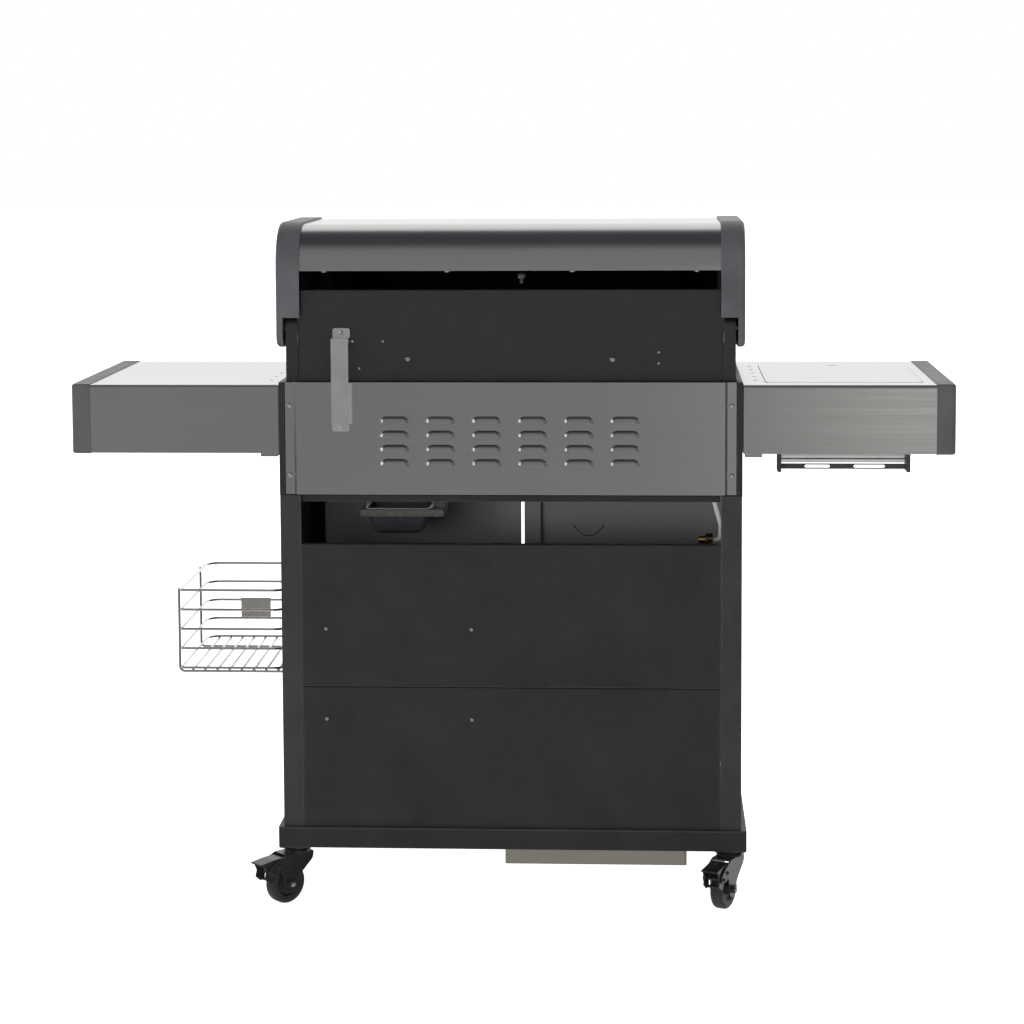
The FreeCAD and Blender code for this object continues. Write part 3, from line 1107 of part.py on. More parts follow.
def brake_pedal():
    """Foot pedal on the rear pivot, with a cross bar that presses on the tread."""
    px, pz = BRAKE_PIVOT
    plate = side_ramp([(39.0, 82.4), (58.0, 81.2), (86.0, 77.4)], 14.6, 2.2)
    cheek_outline = [(47, 80.6, 0), (58, 79.8, 0), (82, 76.6, 0), (75, 62, 5), (78, 51, 2), (69, 43, 3),
                     (60.5, 43, 3), (57, 66, 5)]
    cheeks = [rear_prism(cheek_outline, (side * 12.2, side * 14.4)) for side in (-1, 1)]
    bar = rod((64.3, -14.4, 46), (64.3, 14.4, 46), 2.5)
    pivot_hole = rod((px, -20, pz), (px, 20, pz), 3 + RUNNING_GAP)
    return cut(join([plate, bar] + cheeks), [pivot_hole])


def side_ramp(points, half_width, thickness):
    """Folded strip through (x, z) points, seen from the side, of an even thickness below the points."""
    upper = [(x, z, 0) for x, z in points]
    lower = [(x, z - thickness, 0) for x, z in reversed(points)]
    return rear_prism(upper + lower, (-half_width, half_width))


def placed(shape, pivot, turn):
    """A castor piece turned about its pivot and moved under the base."""
    moved = shape.copy()
    moved.rotate(Vector(0, 0, 0), Vector(0, 0, 1), turn)
    moved.translate(Vector(pivot[0], pivot[1], 0))
    return moved


# ---- Assembly ----

def fixed_nodes():
    """Every node of the cart that doesn't move."""
    holes = screw_holes()
    right_side, left_side = side_panels()
    return {
        "base_tray": base_tray(),
        "bottle_well": bottle_well(),
        "side_panels": [basket_slots(right_side), left_side],
        "frame_rails": frame_rails(),
        "cook_box_brackets": cook_box_brackets(),
        "rear_panel_lower": cut(rear_panel(BASE_TOP, PANEL_SPLIT - 0.4), holes),
        "rear_panel_upper": cut(rear_panel(PANEL_SPLIT + 0.4, PANEL_TOP), holes),
        "heat_shield": cut(heat_shield(), holes),
        "firebox": firebox(),
        "rear_wall": cut(rear_wall(), holes),
        "rear_burner": [cut(solid, holes) for solid in rear_burner()],
        "rear_burner_tube_cover": cut(rear_burner_tube_cover(), holes),
        "burner_tubes": burner_tubes(),
        "flame_tamers": flame_tamers(),
        "cooking_grates": cooking_grates(),
        "warming_rack": warming_rack(),
        "grease_cup_holder": grease_cup_holder(),
        "gas_manifold": gas_manifold(),
        "gas_pipes": gas_pipes(),
        "gas_inlet": gas_inlet(),
        "control_panel": control_panel(),
        "knob_bezels": knob_bezels(),
        "right_shelf": shelf_pan(),
        "left_shelf": left_shelf(),
        "shelf_end_caps": both_sides(shelf_end_cap()),
        "side_burner_bowl": side_burner_bowl(),
        "side_burner_bracket": side_burner_bracket(),
        "side_burner_head": side_burner_head(),
        "side_burner_grate": side_burner_grate(),
        "wire_basket": basket(),
        "castor_plates": [placed(castor_plate(), pivot, 0) for name, pivot, turn, has_brake in CASTORS],
        "screws": screws(),
        "hinge_pins": hinge_pins(),
    }


def moving_nodes():
    """Every node that moves with a joint."""
    nodes = {
        "lid_skin": lid_skin(),
        "lid_end_caps": lid_end_caps(),
        "lid_handle": lid_handle(),
        "thermometer": thermometer(),
        "right_door": door(47.0),
        "left_door": both_sides(door(30.0))[1],
        "right_door_handle": door_handle(),
        "left_door_handle": both_sides(door_handle())[1],
        "grease_tray": grease_tray(),
        "grease_cup": grease_cup(),
        "side_burner_lid": side_burner_lid(),
    }
    for name, x, face, z in knob_positions():
        nodes[name] = knob(x, face, z)
    for name, pivot, turn, has_brake in CASTORS:
        nodes[name + "_castor_fork"] = placed(castor_fork(has_brake), pivot, turn)
        nodes[name + "_castor_wheel"] = placed(castor_wheel(), pivot, turn)
        if has_brake:
            nodes[name + "_brake_pedal"] = placed(brake_pedal(), pivot, turn)
    return nodes


def main():
    """Build every node, set the whole on the middle of its footprint and write one file each."""
    os.makedirs("parts", exist_ok=True)
    nodes = fixed_nodes()
    nodes.update(moving_nodes())
    shapes = {}
    for name, solids in nodes.items():
        shapes[name] = Part.makeCompound(solids) if isinstance(solids, list) else solids
    whole = Part.makeCompound(list(shapes.values())).optimalBoundingBox(False)
    shift = -(whole.YMin + whole.YMax) / 2
    for name, shape in shapes.items():
        shape.translate(Vector(0, shift, 0))
        shape.exportStep("parts/" + name + ".step")
    print("nodes", len(shapes), "rear plane at y", round(shift, 4))
    print("size", round(whole.XLength, 1), round(whole.YLength, 1), round(whole.ZLength, 1))


main()
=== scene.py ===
"""A gas barbecue grill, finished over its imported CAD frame. All lengths are in metres."""

import json
import math

import bmesh
import bpy
from mathutils import Matrix, Vector


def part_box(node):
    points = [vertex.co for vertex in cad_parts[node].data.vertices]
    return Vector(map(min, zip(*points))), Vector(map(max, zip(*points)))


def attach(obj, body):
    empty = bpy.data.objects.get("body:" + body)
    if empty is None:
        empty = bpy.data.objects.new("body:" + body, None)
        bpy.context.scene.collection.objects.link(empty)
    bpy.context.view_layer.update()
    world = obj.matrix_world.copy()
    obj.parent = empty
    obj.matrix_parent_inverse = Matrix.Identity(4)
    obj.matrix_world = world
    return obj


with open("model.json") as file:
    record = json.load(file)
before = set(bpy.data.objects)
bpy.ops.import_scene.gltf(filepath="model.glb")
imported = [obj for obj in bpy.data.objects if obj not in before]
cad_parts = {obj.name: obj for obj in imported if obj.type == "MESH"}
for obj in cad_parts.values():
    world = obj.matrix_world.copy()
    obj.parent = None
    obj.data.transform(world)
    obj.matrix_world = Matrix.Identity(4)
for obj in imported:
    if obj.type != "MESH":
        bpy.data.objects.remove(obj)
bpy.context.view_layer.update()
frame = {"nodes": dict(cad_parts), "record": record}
nodes = frame["nodes"]

MILLIMETRE = 0.001

# Heights of the heat shield's lower and upper edges, and the side of the tube cover
SHIELD_FOOT = 0.700
SHIELD_HEAD = 0.886
COVER_SIDE = 0.270

# Brightness of the studio as reflections see it. Its floor fades in between two downward slopes of view
FRONT_WALL = (1.2, 1.2, 1.2)
ROOF = (0.064, 0.070, 0.080)
REAR_WALL = (0.30, 0.30, 0.30)
NEAR_FLOOR = (0.55, 0.55, 0.55)
FLOOR_FADE_FROM = -0.25
FLOOR_FADE_TO = -0.55

# Glow of the light table and its half width, strength of the sky light, and the lamps' power in watts
FLOOR_GLOW = 0.93
FLOOR_HALF = 40.0
SKY_STRENGTH = 1.6
REAR_FILL_POWER = 160.0
REAR_CARD_POWER = 2.4
BASKET_SIDE_POWER = 45.0
BURNER_SIDE_POWER = 6.0
SIDE_LAMP_SIZE = (3.0, 3.0)

# Castor axle ends, from the middle of the wheel
AXLE_REACH = 0.0223

# Screws in the lid's rear fold: its height, how far in from the edge they stand, and their places along X
LID_FOLD_Z = 1.0720
LID_SCREW_INSET = 0.010
LID_SCREWS_X = (-0.310, -0.104, 0.104, 0.310)

# Igniter's lead: its ends and middle along X, how far in from the rail's face it hangs, how far its ends
# reach into the rail, and its sag below the rail
LEAD_X = (-0.104, -0.130, -0.156)
LEAD_INSET = 0.035
LEAD_HOLD = 0.002
LEAD_SAG = 0.034
LEAD_RADIUS = 0.0011

# Colour of the inner face of the doors, a greyer paint made lighter still as painted light falling into the
# cabinet, and the scale that draws a brushed grain out along X
DOOR_INSIDE_PAINT_AND_LIGHT = (0.30, 0.30, 0.31)
GRAIN = (0.004, 1.0, 1.0)

# Camera, in front of the cart's rear face and a little to its left
CAMERA_PLACE = Vector((-0.22867, 4.50876, 1.31136))
CAMERA_PITCH = 0.0889
CAMERA_YAW = -0.0547
CAMERA_ROLL = -0.0050
LENS = 91.41
SENSOR = 36.0
CAMERA_SHIFT = (0.006, -0.1512)
CLIP_END = 200.0


# ---- Materials ----

def colour_mix(tree):
    """A colour mix node, with its factor, its two colour inputs and its colour output."""
    mix = tree.nodes.new("ShaderNodeMix")
    mix.data_type = "RGBA"
    first, second = [socket for socket in mix.inputs if socket.type == "RGBA"]
    result = next(socket for socket in mix.outputs if socket.type == "RGBA")
    return mix.inputs["Factor"], first, second, result


def ranged(tree, value, start, end, low, high):
    """A value between low and high, moved to between start and end."""
    node = tree.nodes.new("ShaderNodeMapRange")
    tree.links.new(value, node.inputs["Value"])
    for name, limit in (("From Min", low), ("From Max", high), ("To Min", start), ("To Max", end)):
        node.inputs[name].default_value = limit
    return node.outputs["Result"]


class Finish:
    """A material with one Principled shader, and short ways to add procedural detail to it."""

    def __init__(self, name, colour, roughness, metallic=0.0):
        self.material = bpy.data.materials.new(name)
        self.material.use_nodes = True
        self.tree = self.material.node_tree
        self.shader = self.tree.nodes["Principled BSDF"]
        self.shader.inputs["Base Color"].default_value = (*colour, 1)
        self.shader.inputs["Roughness"].default_value = roughness
        self.shader.inputs["Metallic"].default_value = metallic
        self.place = self.tree.nodes.new("ShaderNodeTexCoord").outputs["Object"]
        self.surface = None

    def connect(self, source, target):
        """Links an output, or sets a plain value, on a node's input."""
        if isinstance(source, bpy.types.NodeSocket):
            self.tree.links.new(source, target)
        else:
            target.default_value = source

    def noise(self, scale, detail=3.0, stretch=(1, 1, 1)):
        """Noise of about scale cells per metre, drawn out along the axes where stretch is small."""
        mapping = self.tree.nodes.new("ShaderNodeMapping")
        mapping.inputs["Scale"].default_value = stretch
        self.connect(self.place, mapping.inputs["Vector"])
        texture = self.tree.nodes.new("ShaderNodeTexNoise")
        texture.inputs["Scale"].default_value = scale
        texture.inputs["Detail"].default_value = detail
        self.connect(mapping.outputs["Vector"], texture.inputs["Vector"])
        return texture.outputs["Fac"]

    def remap(self, value, start, end, low=0.3, high=0.7):
        """The value between low and high, moved to between start and end."""
        return ranged(self.tree, value, start, end, low, high)

    def blend(self, factor, first, second):
        """A colour between two, by factor."""
        factor_socket, first_socket, second_socket, result = colour_mix(self.tree)
        self.connect(factor, factor_socket)
        for colour, socket in ((first, first_socket), (second, second_socket)):
            self.connect((*colour, 1) if isinstance(colour, tuple) else colour, socket)
        return result

    def edges(self, radius):
        """Softens the edges that the light sees, and gives a mask that is 1 on them; the finishes paint
        their edges lighter with it, partly as wear and partly as a painted highlight.
        """
        bevel = self.tree.nodes.new("ShaderNodeBevel")
        bevel.samples = 4
        bevel.inputs["Radius"].default_value = radius
        self.surface = bevel.outputs["Normal"]
        true_normal = self.tree.nodes.new("ShaderNodeNewGeometry").outputs["Normal"]
        likeness = self.tree.nodes.new("ShaderNodeVectorMath")
        likeness.operation = "DOT_PRODUCT"
        self.connect(self.surface, likeness.inputs[0])
        self.connect(true_normal, likeness.inputs[1])
        return self.remap(likeness.outputs["Value"], 1.0, 0.0, 0.80, 0.99)

    def bump(self, height, depth, strength):
        """Adds relief of that depth in metres to the surface."""
        bump = self.tree.nodes.new("ShaderNodeBump")
        bump.inputs["Strength"].default_value = strength
        bump.inputs["Distance"].default_value = depth
        self.connect(height, bump.inputs["Height"])
        if self.surface is not None:
            self.connect(self.surface, bump.inputs["Normal"])
        self.surface = bump.outputs["Normal"]

    def beyond(self, axis, limit):
        """1 where the object's place along an axis is above the limit, and 0 elsewhere."""
        parts = self.tree.nodes.new("ShaderNodeSeparateXYZ")
        self.connect(self.place, parts.inputs["Vector"])
        test = self.tree.nodes.new("ShaderNodeMath")
        test.operation = "GREATER_THAN"
        self.connect(parts.outputs[axis], test.inputs[0])
        test.inputs[1].default_value = limit
        return test.outputs["Value"]

    def facing_rear(self):
        """1 on faces that look towards +Y, and 0 elsewhere."""
        parts = self.tree.nodes.new("ShaderNodeSeparateXYZ")
        normal = self.tree.nodes.new("ShaderNodeNewGeometry").outputs["Normal"]
        self.connect(normal, parts.inputs["Vector"])
        return self.remap(parts.outputs["Y"], 0.0, 1.0, 0.4, 0.6)

    def colour(self, source):
        self.connect(source, self.shader.inputs["Base Color"])

    def roughness(self, source):
        self.connect(source, self.shader.inputs["Roughness"])

    def done(self):
        """The material, with its relief joined to the shader."""
        if self.surface is not None:
            self.connect(self.surface, self.shader.inputs["Normal"])
        return self.material


def scaled(colour, factor):
    """A lighter or darker version of a colour."""
    return tuple(min(1.0, channel * factor) for channel in colour)


def brushed_steel(name, colour, roughness):
    """Stainless sheet with very fine lines along X, faint smears, and edges painted lighter, partly as wear
    and partly as a painted highlight.
    """
    finish = Finish(name, colour, roughness, 1.0)
    lines = finish.noise(2200.0, 2.0, GRAIN)
    smears = finish.noise(4.0, 5.0, (0.6, 1.0, 1.0))
    streaks = finish.noise(240.0, 3.0, GRAIN)
    edge_wear_and_highlight = finish.edges(0.0009)
    tone = finish.blend(finish.remap(lines, 0.0, 1.0), scaled(colour, 0.93), scaled(colour, 1.07))
    tone = finish.blend(finish.remap(streaks, 0.0, 0.2), tone, scaled(colour, 0.88))
    tone = finish.blend(finish.remap(smears, 0.0, 0.25), tone, scaled(colour, 0.82))
    # Edges painted lighter: partly edge wear, partly a painted highlight where the edge catches light.
    finish.colour(finish.blend(edge_wear_and_highlight, tone, scaled(colour, 1.7)))
    finish.roughness(finish.remap(streaks, roughness - 0.01, roughness + 0.02))
    finish.bump(lines, 0.00001, 0.25)
    return finish.done()


def rolled_steel(name, colour, roughness):
    """Plain rolled or pressed sheet, with cloudy patches and a soft satin."""
    finish = Finish(name, colour, roughness, 1.0)
    clouds = finish.noise(18.0, 5.0)
    specks = finish.noise(420.0)
    edge_wear_and_highlight = finish.edges(0.0006)
    tone = finish.blend(finish.remap(clouds, 0.0, 1.0), scaled(colour, 0.8), scaled(colour, 1.15))
    # Edges painted lighter: partly edge wear, partly a painted highlight.
    finish.colour(finish.blend(edge_wear_and_highlight, tone, scaled(colour, 1.3)))
    finish.roughness(finish.remap(clouds, roughness - 0.05, roughness + 0.1))
    finish.bump(specks, 0.00003, 0.4)
    return finish.done()


def galvanised_sheet(name, colour):
    """Zinc-coated sheet, with its flakes of lighter and darker spangle."""
    finish = Finish(name, colour, 0.42, 1.0)
    spangle = finish.tree.nodes.new("ShaderNodeTexVoronoi")
    spangle.inputs["Scale"].default_value = 160.0
    finish.connect(finish.place, spangle.inputs["Vector"])
    flake = finish.tree.nodes.new("ShaderNodeSeparateColor")
    finish.connect(spangle.outputs["Color"], flake.inputs["Color"])
    shade = finish.remap(flake.outputs["Red"], 0.0, 1.0, 0.0, 1.0)
    edge_wear_and_highlight = finish.edges(0.0008)
    tone = finish.blend(shade, scaled(colour, 0.82), scaled(colour, 1.15))
    # Edges painted lighter: partly edge wear, partly a painted highlight.
    finish.colour(finish.blend(edge_wear_and_highlight, tone, scaled(colour, 1.3)))
    finish.roughness(finish.remap(shade, 0.36, 0.5, 0.0, 1.0))
    finish.bump(finish.noise(300.0), 0.00003, 0.4)
    return finish.done()


def polished_metal(name, colour, roughness):
    """Bright metal, with hairline wear in its gloss."""
    finish = Finish(name, colour, roughness, 1.0)
    wear = finish.noise(140.0, 6.0)
    dirt = finish.noise(25.0)
    finish.colour(finish.blend(finish.remap(dirt, 0.0, 1.0), scaled(colour, 0.88), colour))
    finish.roughness(finish.remap(wear, roughness * 0.7, roughness * 1.6))
    finish.edges(0.0004)
    finish.bump(wear, 0.00001, 0.3)
    return finish.done()


def powder_coat(name, colour, roughness, edge_wear_and_highlight_gain=6.0):
    """Baked powder paint: a fine orange peel, faint dust, and edges painted far paler, partly as rubbed
    paint and partly as a painted highlight.
    """
    finish = Finish(name, colour, roughness)
    peel = finish.noise(1100.0, 2.0)
    dust = finish.noise(9.0, 5.0)
    edge_wear_and_highlight = finish.edges(0.0018)
    grime = finish.noise(55.0, 6.0)
    tone = finish.blend(finish.remap(dust, 0.0, 1.0), scaled(colour, 0.75), scaled(colour, 1.2))
    tone = finish.blend(finish.remap(grime, 0.0, 0.3), tone, scaled(colour, 1.7))
    # Edges painted several times paler: a painted highlight along the edge, with some rubbed paint.
    finish.colour(finish.blend(edge_wear_and_highlight, tone, scaled(colour, edge_wear_and_highlight_gain)))
    finish.roughness(finish.remap(dust, roughness - 0.08, roughness + 0.10))
    finish.bump(peel, 0.00008, 0.55)
    finish.shader.inputs["Specular IOR Level"].default_value = 0.38
    return finish.done()


def enamel(name, colour):
    """Fired glass enamel, glossy with a slow ripple."""
    finish = Finish(name, colour, 0.28)
    ripple = finish.noise(60.0, 2.0)
    specks = finish.noise(700.0)
    edge_wear_and_highlight = finish.edges(0.0015)
    stains = finish.noise(22.0, 6.0)
    tone = finish.blend(finish.remap(specks, 0.0, 1.0, 0.5, 0.7), colour, scaled(colour, 2.2))
    tone = finish.blend(finish.remap(stains, 0.0, 0.35), tone, scaled(colour, 1.8))
    # Edges painted nine times lighter: a painted highlight along the edge, with some wear.
    finish.colour(finish.blend(edge_wear_and_highlight, tone, scaled(colour, 9.0)))
    finish.shader.inputs["Coat Weight"].default_value = 0.35
    finish.shader.inputs["Coat Roughness"].default_value = 0.12
    finish.bump(ripple, 0.0002, 0.35)
    return finish.done()


def cast_surface(name, colour, roughness, grain=260.0):
    """Cast metal with a pebbled skin."""
    finish = Finish(name, colour, roughness)
    pebbles = finish.noise(grain, 4.0)
    patches = finish.noise(14.0)
    edge_wear_and_highlight = finish.edges(0.0012)
    tone = finish.blend(finish.remap(patches, 0.0, 1.0), scaled(colour, 0.85), scaled(colour, 1.2))
    # Edges painted lighter: partly edge wear, partly a painted highlight.
    finish.colour(finish.blend(edge_wear_and_highlight, tone, scaled(colour, 2.0)))
    finish.roughness(finish.remap(pebbles, roughness - 0.08, roughness + 0.08))
    finish.bump(pebbles, 0.00025, 0.6)
    finish.shader.inputs["Specular IOR Level"].default_value = 0.3
    return finish.done()


def moulded_plastic(name, colour, roughness, rubbed_and_highlight_edge_gain=1.7):
    """Moulded plastic with a fine spark-eroded texture, and edges painted lighter, partly as rubbing and
    partly as a painted highlight.
    """
    finish = Finish(name, colour, roughness)
    texture = finish.noise(1500.0, 2.0)
    marks = finish.noise(20.0, 5.0)
    edge_wear_and_highlight = finish.edges(0.001)
    tone = finish.blend(finish.remap(marks, 0.0, 1.0), scaled(colour, 0.9), scaled(colour, 1.12))
    # Edges painted lighter: partly rubbed plastic, partly a painted highlight.
    finish.colour(finish.blend(edge_wear_and_highlight, tone, scaled(colour, rubbed_and_highlight_edge_gain)))
    finish.roughness(finish.remap(marks, roughness - 0.05, roughness + 0.06))
    finish.bump(texture, 0.00005, 0.5)
    finish.shader.inputs["Specular IOR Level"].default_value = 0.3
    return finish.done()


def door_paint(name, colour):
    """Powder coat of the doors, thinner and greyer on the inner face, which is painted lighter still as
    painted light inside the cabinet.
    """
    finish = Finish(name, colour, 0.45)
    peel = finish.noise(1100.0, 2.0)
    dust = finish.noise(7.0, 4.0)
    outer = finish.blend(finish.remap(dust, 0.0, 1.0), scaled(colour, 0.9), scaled(colour, 1.15))
    # Faces towards +Y take the inner colour: partly greyer paint, partly painted light in the cabinet.
    finish.colour(finish.blend(finish.facing_rear(), outer, DOOR_INSIDE_PAINT_AND_LIGHT))
    finish.roughness(finish.remap(dust, 0.4, 0.5))
    finish.edges(0.0012)
    finish.bump(peel, 0.00008, 0.5)
    return finish.done()


def two_screw_finishes(name, bright, dark):
    """Bright zinc screws on the shield and beyond the cover's side, duller ones on the dark panels."""
    finish = Finish(name, bright, 0.25, 1.0)
    wear = finish.noise(300.0, 4.0)
    above_gap = finish.beyond("Z", SHIELD_FOOT)
    above_shield = finish.beyond("Z", SHIELD_HEAD)
    beside_cover = finish.beyond("X", COVER_SIDE)
    on_wall = finish.blend(beside_cover, dark, bright)
    high = finish.blend(above_shield, bright, on_wall)
    tone = finish.blend(above_gap, dark, high)
    finish.colour(finish.blend(finish.remap(wear, 0.0, 0.3), tone, scaled(dark, 1.2)))
    finish.roughness(finish.remap(wear, 0.10, 0.2))
    finish.edges(0.0003)
    return finish.done()


def make_materials():
    """Every material slot of the record, with the finish that it stands for."""
    return {
        "powder_black": powder_coat("powder_black", (0.011, 0.011, 0.012), 0.44),
        "panel_black": powder_coat("panel_black", (0.012, 0.012, 0.013), 0.47),
        "upright_black": powder_coat("upright_black", (0.019, 0.019, 0.021), 0.47),
        "enamel_black": enamel("enamel_black", (0.007, 0.007, 0.0065)),
        "brushed_stainless": brushed_steel("brushed_stainless", (0.52, 0.515, 0.50), 0.24),
        "burner_stainless": rolled_steel("burner_stainless", (0.45, 0.42, 0.38), 0.34),
        "polished_stainless": polished_metal("polished_stainless", (0.88, 0.88, 0.87), 0.16),
        "galvanised": galvanised_sheet("galvanised", (0.50, 0.48, 0.44)),
        "cast_iron": cast_surface("cast_iron", (0.035, 0.035, 0.034), 0.6),
        "cast_black": cast_surface("cast_black", (0.060, 0.061, 0.066), 0.40, 900.0),
        "chrome_wire": polished_metal("chrome_wire", (0.68, 0.66, 0.64), 0.14),
        "brass": polished_metal("brass", (0.72, 0.50, 0.20), 0.25),
        "cap_plastic": moulded_plastic("cap_plastic", (0.060, 0.061, 0.065), 0.42),
        "knob_plastic": moulded_plastic("knob_plastic", (0.022, 0.022, 0.023), 0.28),
        "wheel_black": moulded_plastic("wheel_black", (0.018, 0.018, 0.018), 0.45),
        "castor_black": powder_coat("castor_black", (0.012, 0.012, 0.013), 0.16, 3.0),
        "pipe_grey": moulded_plastic("pipe_grey", (0.46, 0.46, 0.43), 0.35, 1.2),
        # The cup's dark colour is partly its own dark enamel and partly painted shade for its inside, which
        # lies in shade under the tray.
        "cup_enamel": enamel("cup_enamel", (0.035, 0.038, 0.042)),
        "screw_zinc": two_screw_finishes("screw_zinc", (0.85, 0.85, 0.84), (0.66, 0.66, 0.66)),
    }


def make_node_finishes():
    """Nodes whose finish differs from the rest of their slot."""
    paint = door_paint("door_paint", (0.026, 0.026, 0.027))
    return {
        "bottle_well": brushed_steel("well_steel", (0.56, 0.52, 0.45), 0.38),
        "side_burner_bracket": cast_surface("bracket_paint", (0.030, 0.028, 0.026), 0.5, 900.0),
        "right_door": paint,
        "left_door": paint,
    }


def dress_nodes(materials, own_finishes):
    """Gives each CAD node its own finish, or the one of its slot in the record."""
    for subpart in frame["record"]["subparts"]:
        name = subpart["node"]
        mesh = nodes[name].data
        mesh.materials.clear()
        mesh.materials.append(own_finishes.get(name, materials[subpart["material_slot"]]))


# ---- Small pieces ----

def add_object(name, data):
    """A new object in the scene, around its data."""
    thing = bpy.data.objects.new(name, data)
    bpy.context.scene.collection.objects.link(thing)
    return thing


def place_piece(name, mesh, material, body):
    """Puts a finished mesh in the scene as a piece that rides a body."""
    for polygon in mesh.polygons:
        polygon.use_smooth = True
    mesh.materials.append(material)
    piece = add_object(name, mesh)
    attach(piece, body)


def skin_rings(name, rings):
    """Closed mesh through rings of points, with a cap on each end."""
    build = bmesh.new()
    loops = [[build.verts.new(point) for point in ring] for ring in rings]
    for lower, upper in zip(loops, loops[1:]):
        for index in range(len(lower)):
            following = (index + 1) % len(lower)
            build.faces.new((lower[index], lower[following], upper[following], upper[index]))
    build.faces.new(list(reversed(loops[0])))
    build.faces.new(loops[-1])
    mesh = bpy.data.meshes.new(name)
    bmesh.ops.recalc_face_normals(build, faces=build.faces)
    build.to_mesh(mesh)
    build.free()
    return mesh


def turned(name, profile, place, axis, steps=36):
    """Solid turned about an axis, through (radius, height) pairs from its foot to its tip."""
    turn = Vector((0, 0, 1)).rotation_difference(Vector(axis))
    rings = []
    for radius, height in profile:
        ring = []
        for step in range(steps):
            angle = 2 * math.pi * step / steps
            point = Vector((radius * math.cos(angle), radius * math.sin(angle), height))
            ring.append(Vector(place) + turn @ point)
        rings.append(ring)
    return skin_rings(name, rings)


def drawn_wire(name, points, radius, steps=12, spans=14):
    """Round wire through a smooth curve of a start, a middle and an end."""
    start, middle, end = (Vector(point) for point in points)
    angles = [2 * math.pi * step / steps for step in range(steps)]
    rings = []
    for span in range(spans + 1):
        done = span / spans
        left = 1 - done
        centre = start * left ** 2 + middle * 2 * done * left + end * done ** 2
        along = ((middle - start) * left + (end - middle) * done).normalized()
        side = along.cross(Vector((0, 1, 0))).normalized()
        rise = side.cross(along)
        ring = []
        for angle in angles:
            ring.append(centre + side * radius * math.cos(angle) + rise * radius * math.sin(angle))
        rings.append(ring)
    return skin_rings(name, rings)


def joint_named(name):
    """A joint of the record, by name."""
    return next(joint for joint in frame["record"]["behaviour"]["joints"] if joint["name"] == name)


def add_axle_caps(material):
    """Bright domed cap on each end of every castor axle."""
    dome = [(4.2, 0.0), (4.2, 0.6), (3.4, 1.3), (1.8, 1.8), (0.4, 2.0)]
    profile = [(radius * MILLIMETRE, height * MILLIMETRE) for radius, height in dome]
    for corner in ("rear_right", "rear_left", "front_right", "front_left"):
        joint = joint_named(corner + "_castor_roll")
        axis = Vector(joint["axis"]).normalized()
        for side, end in ((1, "a"), (-1, "b")):
            name = corner + "_axle_cap_" + end
            place = Vector(joint["pos_m"]) + axis * side * AXLE_REACH
            place_piece(name, turned(name, profile, place, axis * side), material,
                        corner + "_castor_fork")


def add_lid_screws(material):
    """Four pan-head screws up through the fold of the lid's rear edge."""
    head = [(1.6, -0.4), (4.4, 0.2), (5.2, 0.9), (5.2, 1.8), (4.4, 3.0), (1.4, 3.4), (1.2, 2.2), (0.2, 2.2)]
    profile = [(radius * MILLIMETRE, height * MILLIMETRE) for radius, height in head]
    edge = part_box("lid_skin")
    for number, x in enumerate(LID_SCREWS_X, 1):
        name = "lid_screw_%d" % number
        place = (x, edge[1][1] - LID_SCREW_INSET, LID_FOLD_Z)
        place_piece(name, turned(name, profile, place, (0, 0, -1)), material, "lid")


def add_igniter_wire(material):
    """Thin black lead of the igniter, hanging in a shallow bend under the cross rail."""
    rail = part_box("frame_rails")
    underside = rail[0][2]
    depth = rail[1][1] - LEAD_INSET
    held = underside + LEAD_HOLD
    route = [(x, depth, height) for x, height in zip(LEAD_X, (held, underside - LEAD_SAG, held))]
    mesh = drawn_wire("igniter_wire", route, LEAD_RADIUS)
    place_piece("igniter_wire", mesh, material, "cart")


# ---- Stage ----

def make_camera():
    """Camera behind the cart, turned by pitch, yaw and roll, with its frame shifted down."""
    camera_data = bpy.data.cameras.new("camera")
    camera = add_object("camera", camera_data)
    forward = Vector((-math.sin(CAMERA_YAW), -math.cos(CAMERA_YAW), 0.0))
    right = Vector((-math.cos(CAMERA_YAW), math.sin(CAMERA_YAW), 0.0))
    up = Vector((0.0, 0.0, 1.0))
    tilted_forward = forward * math.cos(CAMERA_PITCH) - up * math.sin(CAMERA_PITCH)
    tilted_up = up * math.cos(CAMERA_PITCH) + forward * math.sin(CAMERA_PITCH)
    rolled_right = right * math.cos(CAMERA_ROLL) + tilted_up * math.sin(CAMERA_ROLL)
    rolled_up = tilted_up * math.cos(CAMERA_ROLL) - right * math.sin(CAMERA_ROLL)
    axes = Matrix((rolled_right, rolled_up, -tilted_forward)).transposed()
    camera.matrix_world = Matrix.Translation(CAMERA_PLACE) @ axes.to_4x4()
    camera_data.lens = LENS
    camera_data.sensor_width = SENSOR
    camera_data.shift_x, camera_data.shift_y = CAMERA_SHIFT
    camera_data.clip_end = CLIP_END
    bpy.context.scene.camera = camera


def make_floor():
    """Wide light table under the wheels: it glows evenly, so that almost no shadow is left on it."""
    mesh = bpy.data.meshes.new("floor")
    corners = [(x * FLOOR_HALF, y * FLOOR_HALF, 0) for x, y in ((-1, -1), (1, -1), (1, 1), (-1, 1))]
    mesh.from_pydata(corners, [], [(0, 1, 2, 3)])
    finish = Finish("floor", (0.86, 0.86, 0.86), 0.65)
    finish.roughness(finish.remap(finish.noise(3.0), 0.6, 0.7))
    finish.shader.inputs["Emission Color"].default_value = (1, 1, 1, 1)
    finish.shader.inputs["Emission Strength"].default_value = FLOOR_GLOW
    mesh.materials.append(finish.done())
    floor = add_object("floor", mesh)
    floor.visible_glossy = False


def make_softbox(name, place, target, size, power):
    """Rectangular light that the camera doesn't see."""
    light = bpy.data.lights.new(name, "AREA")
    light.shape = "RECTANGLE"
    light.size, light.size_y = size
    light.energy = power
    lamp = add_object(name, light)
    lamp.location = place
    lamp.rotation_euler = (Vector(target) - Vector(place)).to_track_quat("-Z", "Y").to_euler()
    lamp.visible_camera = False
    return lamp


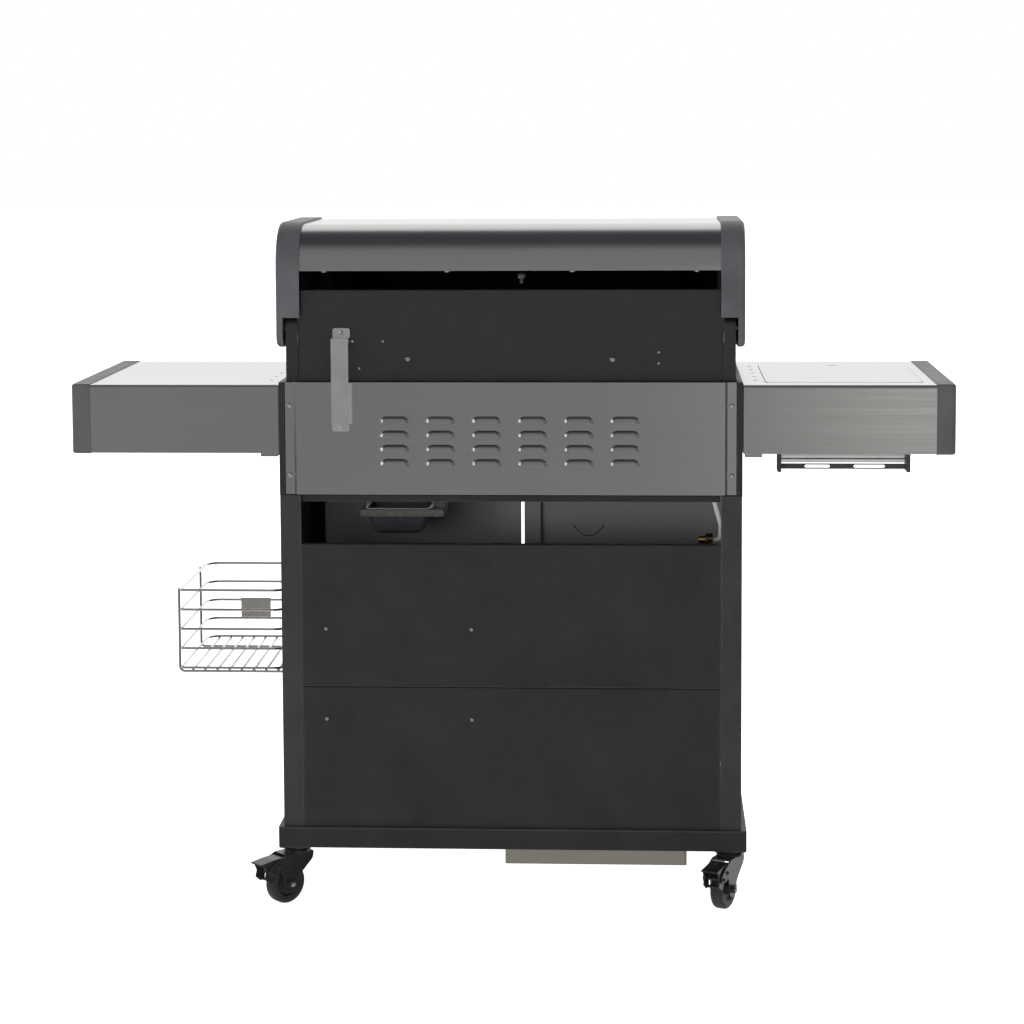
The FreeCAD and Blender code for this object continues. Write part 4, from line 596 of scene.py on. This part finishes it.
def make_world():
    """Studio: white to the camera, and a white front wall, dark roof and grey rear wall in reflections."""
    world = bpy.data.worlds.new("studio")
    bpy.context.scene.world = world
    world.use_nodes = True
    tree = world.node_tree
    parts = tree.nodes.new("ShaderNodeSeparateXYZ")
    tree.links.new(tree.nodes.new("ShaderNodeTexCoord").outputs["Generated"], parts.inputs["Vector"])
    towards_rear = ranged(tree, parts.outputs["Y"], 0.0, 1.0, -1.0, 1.0)
    ramp = tree.nodes.new("ShaderNodeValToRGB")
    tree.links.new(towards_rear, ramp.inputs["Fac"])
    stops = ((0.26, FRONT_WALL), (0.34, ROOF), (0.74, ROOF), (0.87, REAR_WALL))
    while len(ramp.color_ramp.elements) < len(stops):
        ramp.color_ramp.elements.new(1.0)
    for element, (position, shade) in zip(ramp.color_ramp.elements, stops):
        element.position = position
        element.color = (*shade, 1)
    downwards = ranged(tree, parts.outputs["Z"], 0.0, 1.0, FLOOR_FADE_FROM, FLOOR_FADE_TO)
    towards_floor, around, below, room = colour_mix(tree)
    tree.links.new(downwards, towards_floor)
    tree.links.new(ramp.outputs["Color"], around)
    below.default_value = (*NEAR_FLOOR, 1)
    seen, unseen_room, white, result = colour_mix(tree)
    tree.links.new(tree.nodes.new("ShaderNodeLightPath").outputs["Is Camera Ray"], seen)
    tree.links.new(room, unseen_room)
    white.default_value = (1, 1, 1, 1)
    tree.links.new(result, tree.nodes["Background"].inputs["Color"])


def make_sky_light():
    """Wide soft light from above, which evens out the floor and leaves no glint."""
    light = bpy.data.lights.new("sky", "SUN")
    light.energy = SKY_STRENGTH
    light.angle = 1.4
    add_object("sky", light).visible_glossy = False


def make_lights():
    """Fill from behind the camera that leaves no glint, a small card that does, and a fill on each side."""
    rear_fill = make_softbox("rear_fill", (1.6, 6.0, 1.0), (0, 0, 0.6), (3.5, 1.6), REAR_FILL_POWER)
    rear_fill.visible_glossy = False
    make_softbox("rear_card", (-1.4, 6.2, 0.3), (-0.6, 0.2, 0.8), (0.7, 0.9), REAR_CARD_POWER)
    sides = (("basket_side_fill", 5.0, BASKET_SIDE_POWER), ("burner_side_fill", -5.0, BURNER_SIDE_POWER))
    for name, x, power in sides:
        make_softbox(name, (x, 1.5, 2.2), (0, 0, 0.7), SIDE_LAMP_SIZE, power)


# ---- The scene ----

bpy.context.scene.view_settings.view_transform = "Standard"
make_camera()
make_floor()
make_world()
make_sky_light()
make_lights()
materials = make_materials()
dress_nodes(materials, make_node_finishes())
add_axle_caps(polished_metal("axle_zinc", (0.60, 0.60, 0.60), 0.25))
add_lid_screws(polished_metal("lid_screw_zinc", (0.85, 0.85, 0.84), 0.2))
add_igniter_wire(materials["knob_plastic"])
